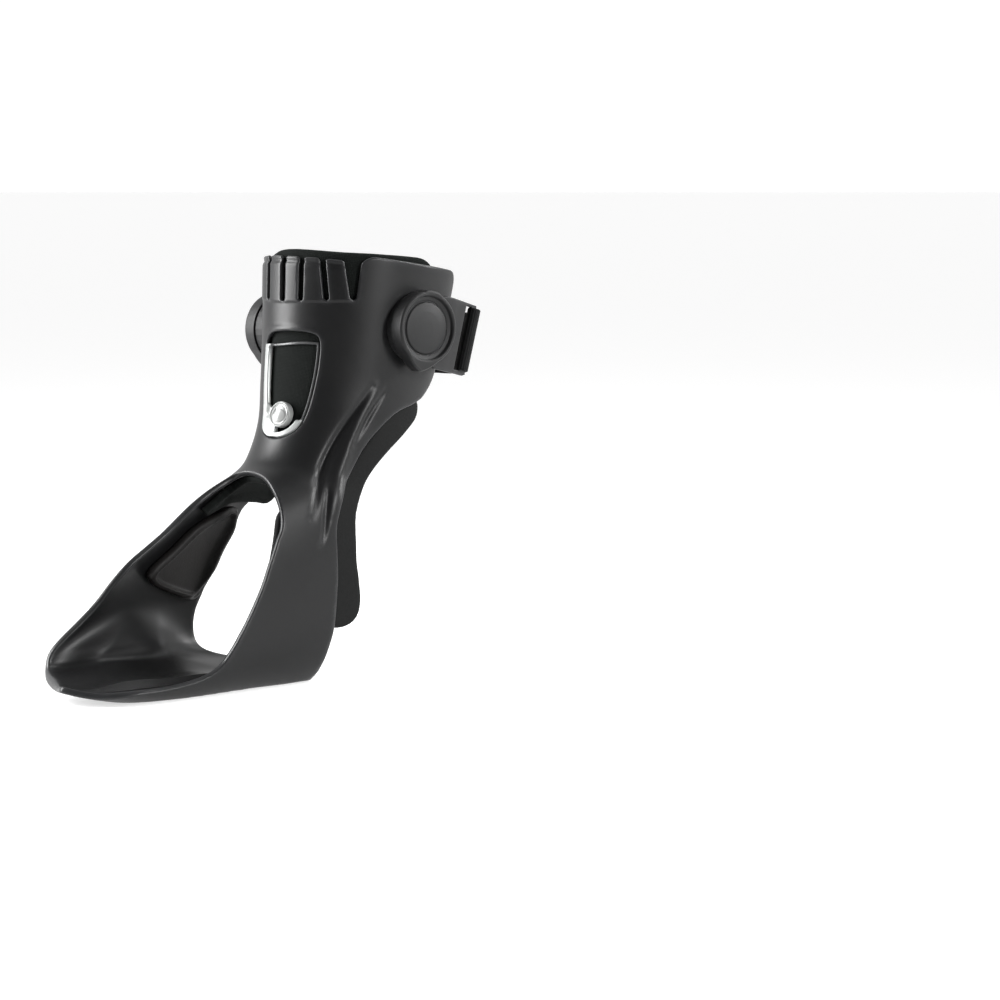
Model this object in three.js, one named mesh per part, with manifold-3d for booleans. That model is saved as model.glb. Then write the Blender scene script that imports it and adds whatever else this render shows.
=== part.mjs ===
// A left-foot drop brace: a moulded shell with a calf cuff, one side strut, a foot plate and a far
// wall, with its liner, ankle pads, window, valve, strap pivots, buckles and calf strap.
// Millimetres, z up, toes toward -x, the strut side toward -y.
import * as THREE from "three";
import Module from "manifold-3d";

const wasm = await Module();
wasm.setup();

// Driving sizes
const LENGTH = 180; // toe tip to the rear corner of the foot plate
const HEIGHT = 250; // floor to the front of the cuff
const HALF = 50; // half the width of the cuff
const CUFF_WALL = 2.4; // shell wall at the calf
const FOOT_WALL = 3.6; // and from the ankle down
const SOLE = 5; // foot plate
const SCOOP = 5; // how far its top rises toward the far wall
const GAP = 0.35; // clearance between neighbouring pieces
const SOFT_GAP = 0.6; // clearance behind the liner and the pads
const LINER = 4; // calf liner
const PAD = 6; // ankle pads
const STRAP_WIDTH = 38;
const STRAP = 2.6;
const PIVOT_RADIUS = 21.5;
const PIVOT_HEIGHT = 13;
const PLATE = 2.6; // buckle plates
const LEAN = 12; // degrees the leg leans back
const PIVOT_AT = 0.09; // share of the way down the brace
const NEAR_PIVOT_BACK = 6; // behind the middle of the cuff
const FAR_PIVOT_BACK = -13;
const FAR_PIVOT_DROP = 8; // the far pivot sits lower on the leg
const NEAR_BUCKLE = 43; // pivot to the rear edge
const FAR_BUCKLE = 54;
const BUCKLE_BEND = 13; // degrees the plates bend in behind the pivots
const VALVE_RADIUS = 7.3;
const VALVE = { at: 0.281, degrees: -9 };
const SLOT = 2.2; // gaps between the cuff's fingers
const WEDGE = 9; // the gap before each wing, at its top
const WEDGE_FOOT = 3;
const FINGER_DROP = 6; // the fingers stop below the wings
const WING_FROM = 45; // degrees round from the front

const MM_PER_SHARE = 330; // along the brace, to measure outlines in one unit
const MM_PER_DEGREE = 0.8; // round the brace

// Sections of the brace from the cuff to the toe. at: share of the way; front and rear points as
// shares of LENGTH and HEIGHT; middle, near and far as shares of HALF; powers round the corners.
const SECTION_KEYS = ["at", "frontX", "frontZ", "rearX", "rearZ", "middle", "near", "far", "frontPower", "rearPower"];
const SECTIONS = [
  [0.0, 0.081, 1.004, 0.761, 0.932, 0.04, 1.04, 1.04, 2.1, 2.1],
  [0.13, 0.061, 0.808, 0.678, 0.712, 0.02, 0.95, 0.95, 2.1, 2.1],
  [0.22, 0.042, 0.688, 0.639, 0.6, 0.0, 0.89, 0.89, 2.1, 2.1],
  [0.3, 0.017, 0.596, 0.611, 0.508, -0.04, 0.85, 0.85, 2.1, 2.1],
  [0.38, -0.044, 0.516, 0.583, 0.396, -0.1, 0.81, 0.83, 2.2, 2.2],
  [0.44, -0.108, 0.486, 0.556, 0.272, -0.18, 0.8, 0.84, 2.4, 2.4],
  [0.52, -0.242, 0.452, 0.467, 0.088, -0.24, 0.76, 0.8, 2.5, 2.5],
  [0.62, -0.395, 0.4, 0.189, -0.016, -0.28, 0.72, 0.84, 2.4, 2.5],
  [0.74, -0.57, 0.312, -0.211, -0.018, -0.34, 0.66, 0.9, 2.3, 2.5],
  [0.85, -0.73, 0.216, -0.544, -0.014, -0.38, 0.58, 0.92, 2.2, 2.5],
  [0.94, -0.9, 0.136, -0.81, 0.01, -0.3, 0.5, 0.76, 2.1, 2.4],
  [1.0, -1.0, 0.09, -0.985, 0.05, -0.12, 0.32, 0.46, 2.0, 2.0],
];

// Outlines on that surface: share along the brace, degrees round it from the front, near side negative.
// The opening over the instep, from the arch down the strut, round the toe and back up the far wall.
const INSTEP_OPENING = [
  [0.434, 0], [0.44, -8], [0.452, -14], [0.475, -21], [0.505, -28], [0.536, -34], [0.568, -39],
  [0.612, -50], [0.66, -69], [0.71, -96], [0.74, -112], [0.768, -124], [0.8, -130], [0.86, -130],
  [0.89, -129], [0.915, -134], [0.938, -147], [0.956, -164], [0.965, -180], [0.967, -196], [1.1, -230],
  [1.1, 230], [0.966, 196], [0.967, 180], [0.962, 160], [0.95, 135], [0.935, 113], [0.917, 98],
  [0.9, 86], [0.875, 77], [0.84, 68], [0.8, 58], [0.76, 45], [0.72, 35], [0.68, 30], [0.62, 24],
  [0.56, 17], [0.52, 14], [0.48, 13], [0.452, 11], [0.438, 6],
];
// The opening behind the leg and the heel, from the cuff's far edge down, under and up the strut.
const HEEL_OPENING = [
  [-0.2, 134], [0.0, 134], [0.08, 135], [0.15, 134], [0.19, 124], [0.215, 110], [0.25, 96], [0.31, 80],
  [0.38, 70], [0.43, 60], [0.465, 52], [0.5, 48], [0.56, 58], [0.61, 74], [0.64, 87], [0.665, 99],
  [0.69, 116], [0.7, 128], [0.696, 140], [0.684, 152], [0.662, 165], [0.648, 176], [0.644, 186],
  [0.65, 197], [0.652, 206], [0.628, 216], [0.6, 228], [0.577, 242], [0.545, 264], [0.514, 284],
  [0.485, 296], [0.456, 300], [0.415, 301], [0.377, 298], [0.31, 288], [0.245, 267], [0.215, 246],
  [0.195, 236], [0.151, 226], [0.08, 224], [0.024, 224], [0.004, 228], [-0.02, 240], [-0.2, 245],
];
// The calf liner, rolled above the cuff and ending in a hem over the instep.
const LINER_OUTLINE = [
  [0.0, 0], [-0.002, -40], [-0.006, -80], [0.002, -104], [0.04, -118], [0.12, -124], [0.19, -120],
  [0.225, -104], [0.26, -86], [0.33, -68], [0.385, -58], [0.412, -46], [0.426, -30], [0.432, -12],
  [0.43, 2], [0.444, 12], [0.5, 17], [0.56, 19], [0.585, 21], [0.56, 24], [0.52, 24], [0.5, 28],
  [0.482, 36], [0.468, 50], [0.458, 64], [0.43, 70], [0.385, 72], [0.33, 80], [0.26, 96],
  [0.225, 108], [0.19, 120], [0.12, 124], [0.04, 118], [0.002, 104], [-0.006, 80], [-0.002, 62], [0.01, 46],
  [0.012, 32], [0.004, 16],
];
// The pad under the near ankle bone, wider than the strut.
const NEAR_PAD_OUTLINE = [
  [0.258, -96], [0.225, -112], [0.208, -124], [0.238, -127], [0.277, -114], [0.325, -96], [0.38, -82],
  [0.44, -79], [0.49, -97], [0.517, -115], [0.537, -129], [0.555, -137], [0.573, -139], [0.592, -135],
  [0.61, -124], [0.628, -106], [0.65, -88], [0.656, -78], [0.632, -65], [0.59, -46], [0.54, -33],
  [0.5, -28], [0.468, -34], [0.435, -50], [0.4, -64], [0.34, -75], [0.29, -85],
];
// The pad on the far wall.
const FAR_PAD_OUTLINE = [
  [0.57, 28], [0.635, 35], [0.693, 45], [0.702, 57], [0.67, 69], [0.645, 77], [0.625, 76],
  [0.6, 66], [0.568, 55], [0.53, 48], [0.507, 43], [0.5, 36], [0.515, 31],
];
// The window in the cuff's front.
const WINDOW_OUTLINE = [
  [0.13, 4], [0.128, -10], [0.13, -26], [0.142, -31], [0.18, -31.5], [0.23, -29], [0.275, -25],
  [0.305, -19], [0.314, -10], [0.31, 0], [0.295, 5], [0.24, 6], [0.18, 6], [0.142, 6],
];

// Geometry helpers
const radians = (degrees) => (degrees * Math.PI) / 180;
const mix = (a, b, t) => a + (b - a) * t;
const add = (a, b) => [a[0] + b[0], a[1] + b[1], a[2] + b[2]];
const scale = (a, k) => [a[0] * k, a[1] * k, a[2] * k];
const minus = (a, b) => add(a, scale(b, -1));
const dot = (a, b) => a[0] * b[0] + a[1] * b[1] + a[2] * b[2];
const cross = (a, b) => [a[1] * b[2] - a[2] * b[1], a[2] * b[0] - a[0] * b[2], a[0] * b[1] - a[1] * b[0]];
const unit = (a) => scale(a, 1 / Math.hypot(...a));
const range = (n) => Array.from({ length: n }, (_, i) => i);

// A smooth curve through the rows of a table, at the first column's value.
function along(rows, at) {
  const t = Math.min(Math.max(at, rows[0][0]), rows[rows.length - 1][0]);
  let i = 0;
  while (i < rows.length - 2 && rows[i + 1][0] < t) i++;
  const slope = (k, c) => {
    const a = rows[Math.max(k - 1, 0)];
    const b = rows[Math.min(k + 1, rows.length - 1)];
    return (b[c] - a[c]) / (b[0] - a[0]);
  };
  const step = rows[i + 1][0] - rows[i][0];
  const u = (t - rows[i][0]) / step;
  return rows[i].map((_, c) =>
    c === 0
      ? t
      : rows[i][c] * (1 + 2 * u) * (1 - u) ** 2 +
        slope(i, c) * step * u * (1 - u) ** 2 +
        rows[i + 1][c] * u * u * (3 - 2 * u) +
        slope(i + 1, c) * step * u * u * (u - 1),
  );
}

// The section at a share of the way, in millimetres by name. Above the cuff it carries on straight.
function sectionAt(at) {
  const row = along(SECTIONS, at);
  const named = Object.fromEntries(SECTION_KEYS.map((key, c) => [key, row[c]]));
  const above = Math.min(at, 0) * MM_PER_SHARE;
  const lift = [-above * Math.sin(radians(LEAN)), -above * Math.cos(radians(LEAN))];
  return {
    front: [named.frontX * LENGTH + lift[0], named.frontZ * HEIGHT + lift[1]],
    rear: [named.rearX * LENGTH + lift[0], named.rearZ * HEIGHT + lift[1]],
    middle: named.middle * HALF,
    near: named.near * HALF,
    far: named.far * HALF,
    frontPower: named.frontPower,
    rearPower: named.rearPower,
  };
}

// The outer face of the shell before its relief.
function surface(at, degrees) {
  const { front, rear, middle, near, far, frontPower, rearPower } = sectionAt(at);
  const [co, si] = [Math.cos(radians(degrees)), Math.sin(radians(degrees))];
  const half = Math.hypot(front[0] - rear[0], front[1] - rear[1]) / 2;
  const side = si < 0 ? near : far;
  const power = co > 0 ? frontPower : rearPower;
  const r = (Math.abs(co / half) ** power + Math.abs(si / side) ** power) ** (-1 / power);
  return [
    (front[0] + rear[0]) / 2 + (r * co * (front[0] - rear[0])) / (2 * half),
    middle + r * si,
    (front[1] + rear[1]) / 2 + (r * co * (front[1] - rear[1])) / (2 * half),
  ];
}

function normalAt(at, degrees) {
  const [ds, dt] = [0.002, 0.5];
  const down = minus(surface(Math.min(at + ds, 1), degrees), surface(at - ds, degrees));
  const round = minus(surface(at, degrees + dt), surface(at, degrees - dt));
  return unit(cross(round, down));
}

// A point off the shell's outer face: out is positive, in is negative.
const offSurface = (at, degrees, out) => add(surface(at, degrees), scale(normalAt(at, degrees), out));

// A closed smooth loop through the rows of an outline.
function loopThrough(rows, steps = 4) {
  const n = rows.length;
  return rows.flatMap((_, i) => {
    const [a, b, c, d] = [-1, 0, 1, 2].map((k) => rows[(i + k + n) % n]);
    return range(steps).map((j) => {
      const t = j / steps;
      return [0, 1].map(
        (k) =>
          0.5 *
          (2 * b[k] +
            (c[k] - a[k]) * t +
            (2 * a[k] - 5 * b[k] + 4 * c[k] - d[k]) * t * t +
            (3 * b[k] - a[k] - 3 * c[k] + d[k]) * t ** 3),
      );
    });
  });
}

// Millimetres inside a loop, negative outside it.
function insideLoop(loop, at, degrees) {
  const [px, py] = [at * MM_PER_SHARE, degrees * MM_PER_DEGREE];
  let nearest = Infinity;
  let inside = false;
  loop.forEach((row, i) => {
    const next = loop[(i + 1) % loop.length];
    const [ax, ay] = [row[0] * MM_PER_SHARE, row[1] * MM_PER_DEGREE];
    const [bx, by] = [next[0] * MM_PER_SHARE, next[1] * MM_PER_DEGREE];
    const length2 = (bx - ax) ** 2 + (by - ay) ** 2 || 1;
    const t = Math.min(1, Math.max(0, ((px - ax) * (bx - ax) + (py - ay) * (by - ay)) / length2));
    nearest = Math.min(nearest, Math.hypot(px - mix(ax, bx, t), py - mix(ay, by, t)));
    if (ay > py !== by > py && px < ax + ((py - ay) * (bx - ax)) / (by - ay)) inside = !inside;
  });
  return inside ? nearest : -nearest;
}

// A sheet on the surface: the part of a grid where inside() is positive, with an outer and an inner face.
function sheet({ ats, turns, closed, inside, outer, inner }) {
  const [rows, columns] = [ats.length, turns.length];
  const grid = ats.map((at) =>
    turns.map((degrees) => {
      const depth = inside(at, degrees);
      if (Math.abs(depth) > 1.4) return { at, degrees, depth };
      const [ds, dt] = [0.5 / MM_PER_SHARE, 0.5 / MM_PER_DEGREE];
      const gs = inside(at + ds, degrees) - inside(at - ds, degrees);
      const gt = inside(at, degrees + dt) - inside(at, degrees - dt);
      const size2 = gs * gs + gt * gt || 1;
      const onTop = at === ats[0] || at === ats[rows - 1];
      return {
        at: onTop ? at : at - (depth * gs) / size2 / MM_PER_SHARE,
        degrees: degrees - (depth * gt) / size2 / MM_PER_DEGREE,
        depth: 0,
      };
    }),
  );
  const corners = new Map();
  const triangles = [];
  const index = (key, make) => {
    if (!corners.has(key)) corners.set(key, { id: corners.size, ...make() });
    return corners.get(key).id;
  };
  const cornerId = (i, j) => index(`${i},${j % columns}`, () => grid[i][j % columns]);
  const crossing = (a, b) => {
    const [p, q] = [a, b].sort((m, n) => m[0] - n[0] || m[1] - n[1]);
    return index(`${p}|${q}`, () => {
      const [m, n] = [p, q].map(([i, j]) => grid[i][j % columns]);
      const turn = closed && Math.abs(m.degrees - n.degrees) > 180 ? 360 : 0;
      const t = m.depth / (m.depth - n.depth);
      const from = m.degrees + (m.degrees < n.degrees ? turn : 0);
      const to = n.degrees + (n.degrees < m.degrees ? turn : 0);
      return { at: mix(m.at, n.at, t), degrees: mix(from, to, t) };
    });
  };
  const clip = (tri) => {
    const kept = [];
    tri.forEach((a, k) => {
      const b = tri[(k + 1) % 3];
      const [da, db] = [a, b].map(([i, j]) => grid[i][j % columns].depth);
      if (da >= 0) kept.push(cornerId(...a));
      if (da * db < 0) kept.push(crossing([a[0], a[1] % columns], [b[0], b[1] % columns]));
    });
    for (let k = 1; k + 1 < kept.length; k++) triangles.push([kept[0], kept[k], kept[k + 1]]);
  };
  const live = (tri) => tri.some(([i, j]) => grid[i][j % columns].depth > 0);
  for (const i of range(rows - 1))
    for (const j of range(closed ? columns : columns - 1)) {
      const [a, b, c, d] = [[i, j], [i, j + 1], [i + 1, j + 1], [i + 1, j]];
      [[a, d, b], [b, d, c]].filter(live).forEach(clip);
    }
  const points = [...corners.values()];
  const skins = [outer, inner].flatMap((face) => points.map(({ at, degrees }) => face(at, degrees)));
  const n = points.length;
  const faces = triangles.flatMap(([a, b, c]) => [[a, b, c], [a + n, c + n, b + n]]);
  const edges = new Map();
  for (const [a, b, c] of triangles)
    for (const [p, q] of [[a, b], [b, c], [c, a]]) edges.set(`${p},${q}`, [p, q]);
  for (const [p, q] of edges.values())
    if (!edges.has(`${q},${p}`)) faces.push([q, p, p + n], [q, p + n, q + n]);
  return solidFrom(skins, faces);
}

// manifold-3d solids
function solidFrom(points, faces) {
  const mesh = new wasm.Mesh({
    numProp: 3,
    vertProperties: new Float32Array(points.flat()),
    triVerts: new Uint32Array(faces.flat()),
  });
  mesh.merge();
  const solid = new wasm.Manifold(mesh);
  return solid.volume() < 0 ? new wasm.Manifold(flipped(mesh)) : solid;
}
function flipped(mesh) {
  mesh.triVerts = mesh.triVerts.map((_, i, all) => all[i - (i % 3) + [0, 2, 1][i % 3]]);
  return mesh;
}
const biggest = (solid) => solid.decompose().sort((a, b) => b.volume() - a.volume())[0];

const spread = (from, to, count) => range(count).map((i) => mix(from, to, i / (count - 1)));

// Shell
const heelLoop = loopThrough(HEEL_OPENING);
const instepLoop = loopThrough(INSTEP_OPENING);
const ease = (t) => {
  const c = Math.min(1, Math.max(0, t));
  return c * c * (3 - 2 * c);
};
const shellInside = (at, degrees) => {
  const front = degrees > 180 ? degrees - 360 : degrees;
  const back = degrees < 0 ? degrees + 360 : degrees;
  const cut = Math.max(insideLoop(instepLoop, at, front), insideLoop(heelLoop, at, back));
  const below = at * MM_PER_SHARE - FINGER_DROP * ease((WING_FROM + 2 - Math.abs(front)) / 3);
  return Math.min(-cut, at > 0.04 ? Infinity : below + 0.01);
};
const wallAt = (at) => mix(CUFF_WALL, FOOT_WALL, ease((at - 0.28) / 0.2));

// Relief of the strut: a rib with a groove on each side, each a line of share, degrees and depth.
const RELIEF = [
  { line: [[0.2, -73], [0.27, -60], [0.36, -52], [0.42, -51], [0.48, -58]], width: 5, height: 1.6 },
  { line: [[0.22, -64], [0.31, -47], [0.4, -39], [0.49, -43]], width: 3, height: -1.2 },
  { line: [[0.21, -79], [0.26, -68], [0.32, -58]], width: 2.5, height: -1.0 },
  { line: [[0.43, -47], [0.47, -51], [0.51, -58]], width: 2.5, height: -1.0 },
];
function relief(at, degrees) {
  return RELIEF.reduce((sum, { line, width, height }) => {
    let best = Infinity;
    let share = 0;
    line.slice(1).forEach((end, i) => {
      const start = line[i];
      const d = [(end[0] - start[0]) * MM_PER_SHARE, (end[1] - start[1]) * MM_PER_DEGREE];
      const p = [(at - start[0]) * MM_PER_SHARE, (degrees - start[1]) * MM_PER_DEGREE];
      const t = Math.min(1, Math.max(0, (p[0] * d[0] + p[1] * d[1]) / (d[0] ** 2 + d[1] ** 2)));
      const off = Math.hypot(p[0] - d[0] * t, p[1] - d[1] * t);
      if (off < best) [best, share] = [off, (i + t) / (line.length - 1)];
    });
    const fade = Math.sin(Math.PI * Math.min(Math.max(share, 0.02), 0.98)) ** 0.6;
    return sum + height * fade * Math.exp(-((best / width) ** 2));
  }, 0);
}

const atLeast = (point, z) => [point[0], point[1], Math.max(point[2], z)];
const shellOuter = (at, degrees) => atLeast(offSurface(at, degrees, relief(at, degrees)), 0);
function shellInner(at, degrees) {
  const point = offSurface(at, degrees, -wallAt(at));
  return atLeast(point, SOLE + SCOOP * ease((point[1] / HALF + 0.45) / 0.9));
}

// A block on the surface between two faces, to cut with.
const blockOn = (loop, grid, out, inward, inset = 0) =>
  sheet({
    ats: spread(...grid.at),
    turns: grid.turns ?? spread(...grid.turn),
    closed: false,
    inside: (at, degrees) => insideLoop(loop, at, degrees) - inset,
    outer: (at, degrees) => offSurface(at, degrees, out),
    inner: (at, degrees) => offSurface(at, degrees, inward),
  });

const windowLoop = loopThrough(WINDOW_OUTLINE);
const windowGrid = { at: [0.11, 0.33, 13], turn: [-36, 12, 9] };
const windowCut = blockOn(windowLoop, windowGrid, 8, -CUFF_WALL - 3);

// The slots between the fingers of the cuff's front, and the wedge before each wing: degrees round, millimetres wide.
const SLOT_KEYS = ["top", "foot", "topWidth", "footWidth"];
const SLOTS = [
  [-2, -3, SLOT, SLOT], [-15, -16, SLOT, SLOT], [-27, -32, SLOT, SLOT], [-45, -48, WEDGE, WEDGE_FOOT],
  [12.5, 12, SLOT, SLOT], [26, 30, SLOT, SLOT], [44, 47.5, WEDGE, WEDGE_FOOT],
];
const SLOT_FOOT = 0.084;
function slotCut(row) {
  const { top, foot, topWidth, footWidth } = Object.fromEntries(SLOT_KEYS.map((key, c) => [key, row[c]]));
  const [high, low] = [topWidth, footWidth].map((width) => width / 2 / MM_PER_DEGREE);
  const loop = [[0, top - high], [SLOT_FOOT, foot - low], [SLOT_FOOT, foot + low], [0, top + high]];
  const above = [[-0.05, top - high], [-0.05, top + high]];
  const corners = [3, -CUFF_WALL - 2].flatMap((out) => [...loop, ...above].map(([at, turn]) => offSurface(at, turn, out)));
  return wasm.Manifold.hull(corners);
}

const ROWS = 42; // facets along the shell
const ROW = 0.99 / ROWS;
const TURN = 9; // degrees of a facet round it, halved along the rib
const TURNS = range(360 / TURN).flatMap((j) => {
  const at = -180 + TURN * j;
  return at > -81 && at < -40 ? [at, at + TURN / 2] : [at];
});
const shell = biggest(
  wasm.Manifold.difference([
    sheet({
      ats: range(ROWS + 1).map((i) => i * ROW),
      turns: TURNS,
      closed: true,
      inside: shellInside,
      outer: shellOuter,
      inner: shellInner,
    }),
    windowCut,
    ...SLOTS.map(slotCut),
  ]),
);

// Liner and pads, each on the shell's inner face
const face = (at) => -wallAt(at) - SOFT_GAP;
const facets = (rows, turns) => ({
  ats: range(rows[1] - rows[0]).map((i) => (rows[0] + i) * ROW),
  turns: TURNS.filter((turn) => turn > turns[0] && turn < turns[1]),
});
function padOn(rows, { ats, turns }, thickness) {
  const loop = loopThrough(rows);
  return sheet({
    ats,
    turns,
    closed: false,
    inside: (at, degrees) => insideLoop(loop, at, degrees),
    outer: (at, degrees) => offSurface(at, degrees, face(at)),
    inner: (at, degrees) => offSurface(at, degrees, face(at) - thickness(insideLoop(loop, at, degrees))),
  });
}
const bead = (depth) => PAD * (0.55 + 0.45 * Math.exp(-(((depth - 3) / 2.6) ** 2)));
const liner = padOn(LINER_OUTLINE, facets([-1, 27], [-131, 131]), () => LINER);
const nearPad = padOn(NEAR_PAD_OUTLINE, facets([7, 30], [-148, -20]), () => PAD);
const farPad = padOn(FAR_PAD_OUTLINE, { ats: spread(0.48, 0.72, 18), turns: spread(24, 84, 14) }, bead);

// Frames to build in: one square to the shell at a point, one square to the leg at the pivots
function placedAt(solid, origin, x, y, z) {
  return solid.transform([...x, 0, ...y, 0, ...z, 0, ...origin, 1]);
}
function onShell(solid, { at, degrees }) {
  const z = normalAt(at, degrees);
  const x = unit(cross([0, 1, 0], z));
  return placedAt(solid, surface(at, degrees), x, cross(z, x), z);
}
const pivotSection = sectionAt(PIVOT_AT);
const cuffCentre = [0, 1].map((k) => (pivotSection.front[k] + pivotSection.rear[k]) / 2);
const [leanCos, leanSin] = [Math.cos(radians(LEAN)), Math.sin(radians(LEAN))];
const onCuff = (solid) =>
  placedAt(
    solid,
    [cuffCentre[0], pivotSection.middle, cuffCentre[1]],
    [leanCos, 0, -leanSin],
    [0, 1, 0],
    [leanSin, 0, leanCos],
  );

// Window frame and valve
const disc = (radius, from, to, segments = 32) =>
  wasm.Manifold.cylinder(to - from, radius, radius, segments).translate([0, 0, from]);
const valveHole = onShell(disc(VALVE_RADIUS + GAP, -12, 12), VALVE);
const FRAME_WIDTH = 2.4;
const FRAME_TOP = 0.15;
const frameCorners = [[FRAME_TOP, -45], [-0.1, -45], [-0.1, 25], [FRAME_TOP, 25]];
const frameTop = wasm.Manifold.hull(
  [20, -20].flatMap((out) => frameCorners.map(([at, degrees]) => offSurface(at, degrees, out))),
);
const windowFrame = biggest(
  wasm.Manifold.difference([
    blockOn(windowLoop, windowGrid, 0.4, -CUFF_WALL, GAP),
    blockOn(windowLoop, windowGrid, 3, -CUFF_WALL - 3, FRAME_WIDTH),
    frameTop,
    valveHole,
  ]),
);
const valveBody = onShell(disc(VALVE_RADIUS, face(VALVE.at) + 2 * GAP, 1.2), VALVE);
const valveCap = onShell(disc(VALVE_RADIUS - 1.8, 1.2 + GAP, 2.8), VALVE);

// Pivots: a base that follows the shell, a hub through the buckle's eye, and a cap over it.
const HUB = 6;
const NOSE = 26;
const BASE_TOP = 3.4; // above the widest point of the cuff
const mirrorFar = (solid) =>
  solid
    .translate([0, -pivotSection.middle, 0])
    .mirror([0, 1, 0])
    .translate([0, pivotSection.middle, 0])
    .translate(scale([leanSin, 0, leanCos], -FAR_PIVOT_DROP));
const cuffBlock = (side) =>
  blockOn(
    [[-0.03, 150 * side], [0.215, 150 * side], [0.215, 30 * side], [-0.03, 30 * side]],
    { at: [-2 * ROW, 10 * ROW, 13], turns: TURNS.filter((turn) => Math.abs(turn - 90 * side) < 67) },
    GAP,
    -26,
  );
const away = (solid) => solid.rotate([90, 0, 0]); // z turns to the near side
const seat = pivotSection.near;
const plateFrom = BASE_TOP + GAP;
const plateTo = plateFrom + PLATE;
const capFrom = plateTo + GAP;
function pivotPieces(back, side) {
  const base = away(disc(PIVOT_RADIUS - 1, -16, BASE_TOP, 36).add(disc(HUB, 0, plateTo, 24)));
  const rim = disc(PIVOT_RADIUS, capFrom, PIVOT_HEIGHT, 40);
  const nose = wasm.Manifold.hull([
    disc(PIVOT_RADIUS - 3, capFrom + 0.6, PIVOT_HEIGHT - 2, 24),
    disc(1.2, capFrom + 1, PIVOT_HEIGHT - 3.4, 8).translate([0, -NOSE, 0]),
  ]);
  const recess = disc(PIVOT_RADIUS - 2.6, PIVOT_HEIGHT - 2.4, PIVOT_HEIGHT + 1, 32);
  const dome = wasm.Manifold.cylinder(2, 15.4, 13.4, 32).translate([0, 0, PIVOT_HEIGHT - 2.5]);
  const hollow = disc(PIVOT_RADIUS - 4, capFrom - 1, PIVOT_HEIGHT - 4, 24);
  const cap = away(rim.add(nose).subtract(recess).add(dome).subtract(hollow));
  const set = (solid) => {
    const near = onCuff(solid.translate([back, -seat, 0]));
    return side < 0 ? near : mirrorFar(near);
  };
  return { base: biggest(set(base).subtract(cuffBlock(side))), cap: set(cap) };
}

// Buckle plates: an eye on the pivot's hub, a bend behind it and a slot that leaves a bar for the strap.
const BAR = 5;
const SLOT_LENGTH = 8;
const PLATE_HALF = STRAP_WIDTH / 2 + 3;
const BEND_FROM = PIVOT_RADIUS + 1;
const bendSlope = Math.tan(radians(BUCKLE_BEND));
const bentOut = (x) => (plateFrom + plateTo) / 2 - Math.max(x - BEND_FROM, 0) * bendSlope;
function buckle(back, end) {
  const eye = wasm.CrossSection.circle(13, 40);
  const neck = wasm.CrossSection.ofPolygons([
    [[0, -13], [23, -PLATE_HALF + 3], [26, -PLATE_HALF], [end - 3, -PLATE_HALF], [end, -PLATE_HALF + 3],
      [end, PLATE_HALF - 3], [end - 3, PLATE_HALF], [26, PLATE_HALF], [23, PLATE_HALF - 3], [0, 13]],
  ]);
  const hole = wasm.CrossSection.circle(HUB + GAP, 32);
  const slot = wasm.CrossSection.square([SLOT_LENGTH, STRAP_WIDTH + 4 * GAP], true).translate([
    end - BAR - SLOT_LENGTH / 2,
    0,
  ]);
  const outline = away(eye.add(neck).subtract(hole).subtract(slot).extrude(60).translate([0, 0, -30]));
  const bends = [-15, BEND_FROM, end + 5];
  const sides = [1, -1].map((sign) => bends.map((x) => [x, -bentOut(x) - (sign * PLATE) / 2]));
  const plan = wasm.CrossSection.ofPolygons([[...sides[0], ...sides[1].reverse()]], "NonZero");
  const plate = plan.extrude(80).translate([0, 0, -40]).intersect(outline);
  return onCuff(plate.translate([back, -seat, 0]));
}

// Strap: a band round the back of the leg, folded round the bar of each buckle.
const PIVOTS = { near: [NEAR_PIVOT_BACK, NEAR_BUCKLE], far: [FAR_PIVOT_BACK, FAR_BUCKLE] };
function barAt([back, end]) {
  const x = end - BAR / 2;
  return [back + x, -seat - bentOut(x)];
}
const BEHIND = 67; // the strap's loop behind the middle of the cuff
function strapPath() {
  const [nearX, nearY] = barAt(PIVOTS.near);
  const [farX, farY] = barAt(PIVOTS.far);
  const rows = [
    [0, nearX + 1, nearY],
    [0.12, mix(nearX, BEHIND, 0.42), nearY * 0.86],
    [0.3, mix(nearX, BEHIND, 0.86), nearY * 0.5],
    [0.5, BEHIND, 0],
    [0.7, mix(farX, BEHIND, 0.88), -farY * 0.52],
    [0.86, mix(farX, BEHIND, 0.48), -farY * 0.88],
    [1, farX + 1, -farY],
  ];
  return spread(0, 1, 41).map((t) => along(rows, t).slice(1));
}
function band(path, thickness) {
  const sides = [1, -1].map((sign) =>
    path.map(([x, y], i) => {
      const [a, b] = [path[Math.max(i - 1, 0)], path[Math.min(i + 1, path.length - 1)]];
      const length = Math.hypot(b[0] - a[0], b[1] - a[1]);
      const half = (sign * thickness) / 2;
      return [x + ((b[1] - a[1]) * half) / length, y - ((b[0] - a[0]) * half) / length];
    }),
  );
  return wasm.CrossSection.ofPolygons([[...sides[0], ...sides[1].reverse()]], "NonZero");
}
function barLoop(pivot, mirrored) {
  const [x, y] = barAt(pivot);
  const turn = mirrored ? -BUCKLE_BEND : BUCKLE_BEND;
  const bar = (grow) =>
    wasm.CrossSection.square([BAR + 2 * grow, PLATE + 2 * grow], true).rotate(turn).translate([x, mirrored ? -y : y]);
  return { ring: bar(2 * GAP + STRAP), hole: bar(2 * GAP) };
}
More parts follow.
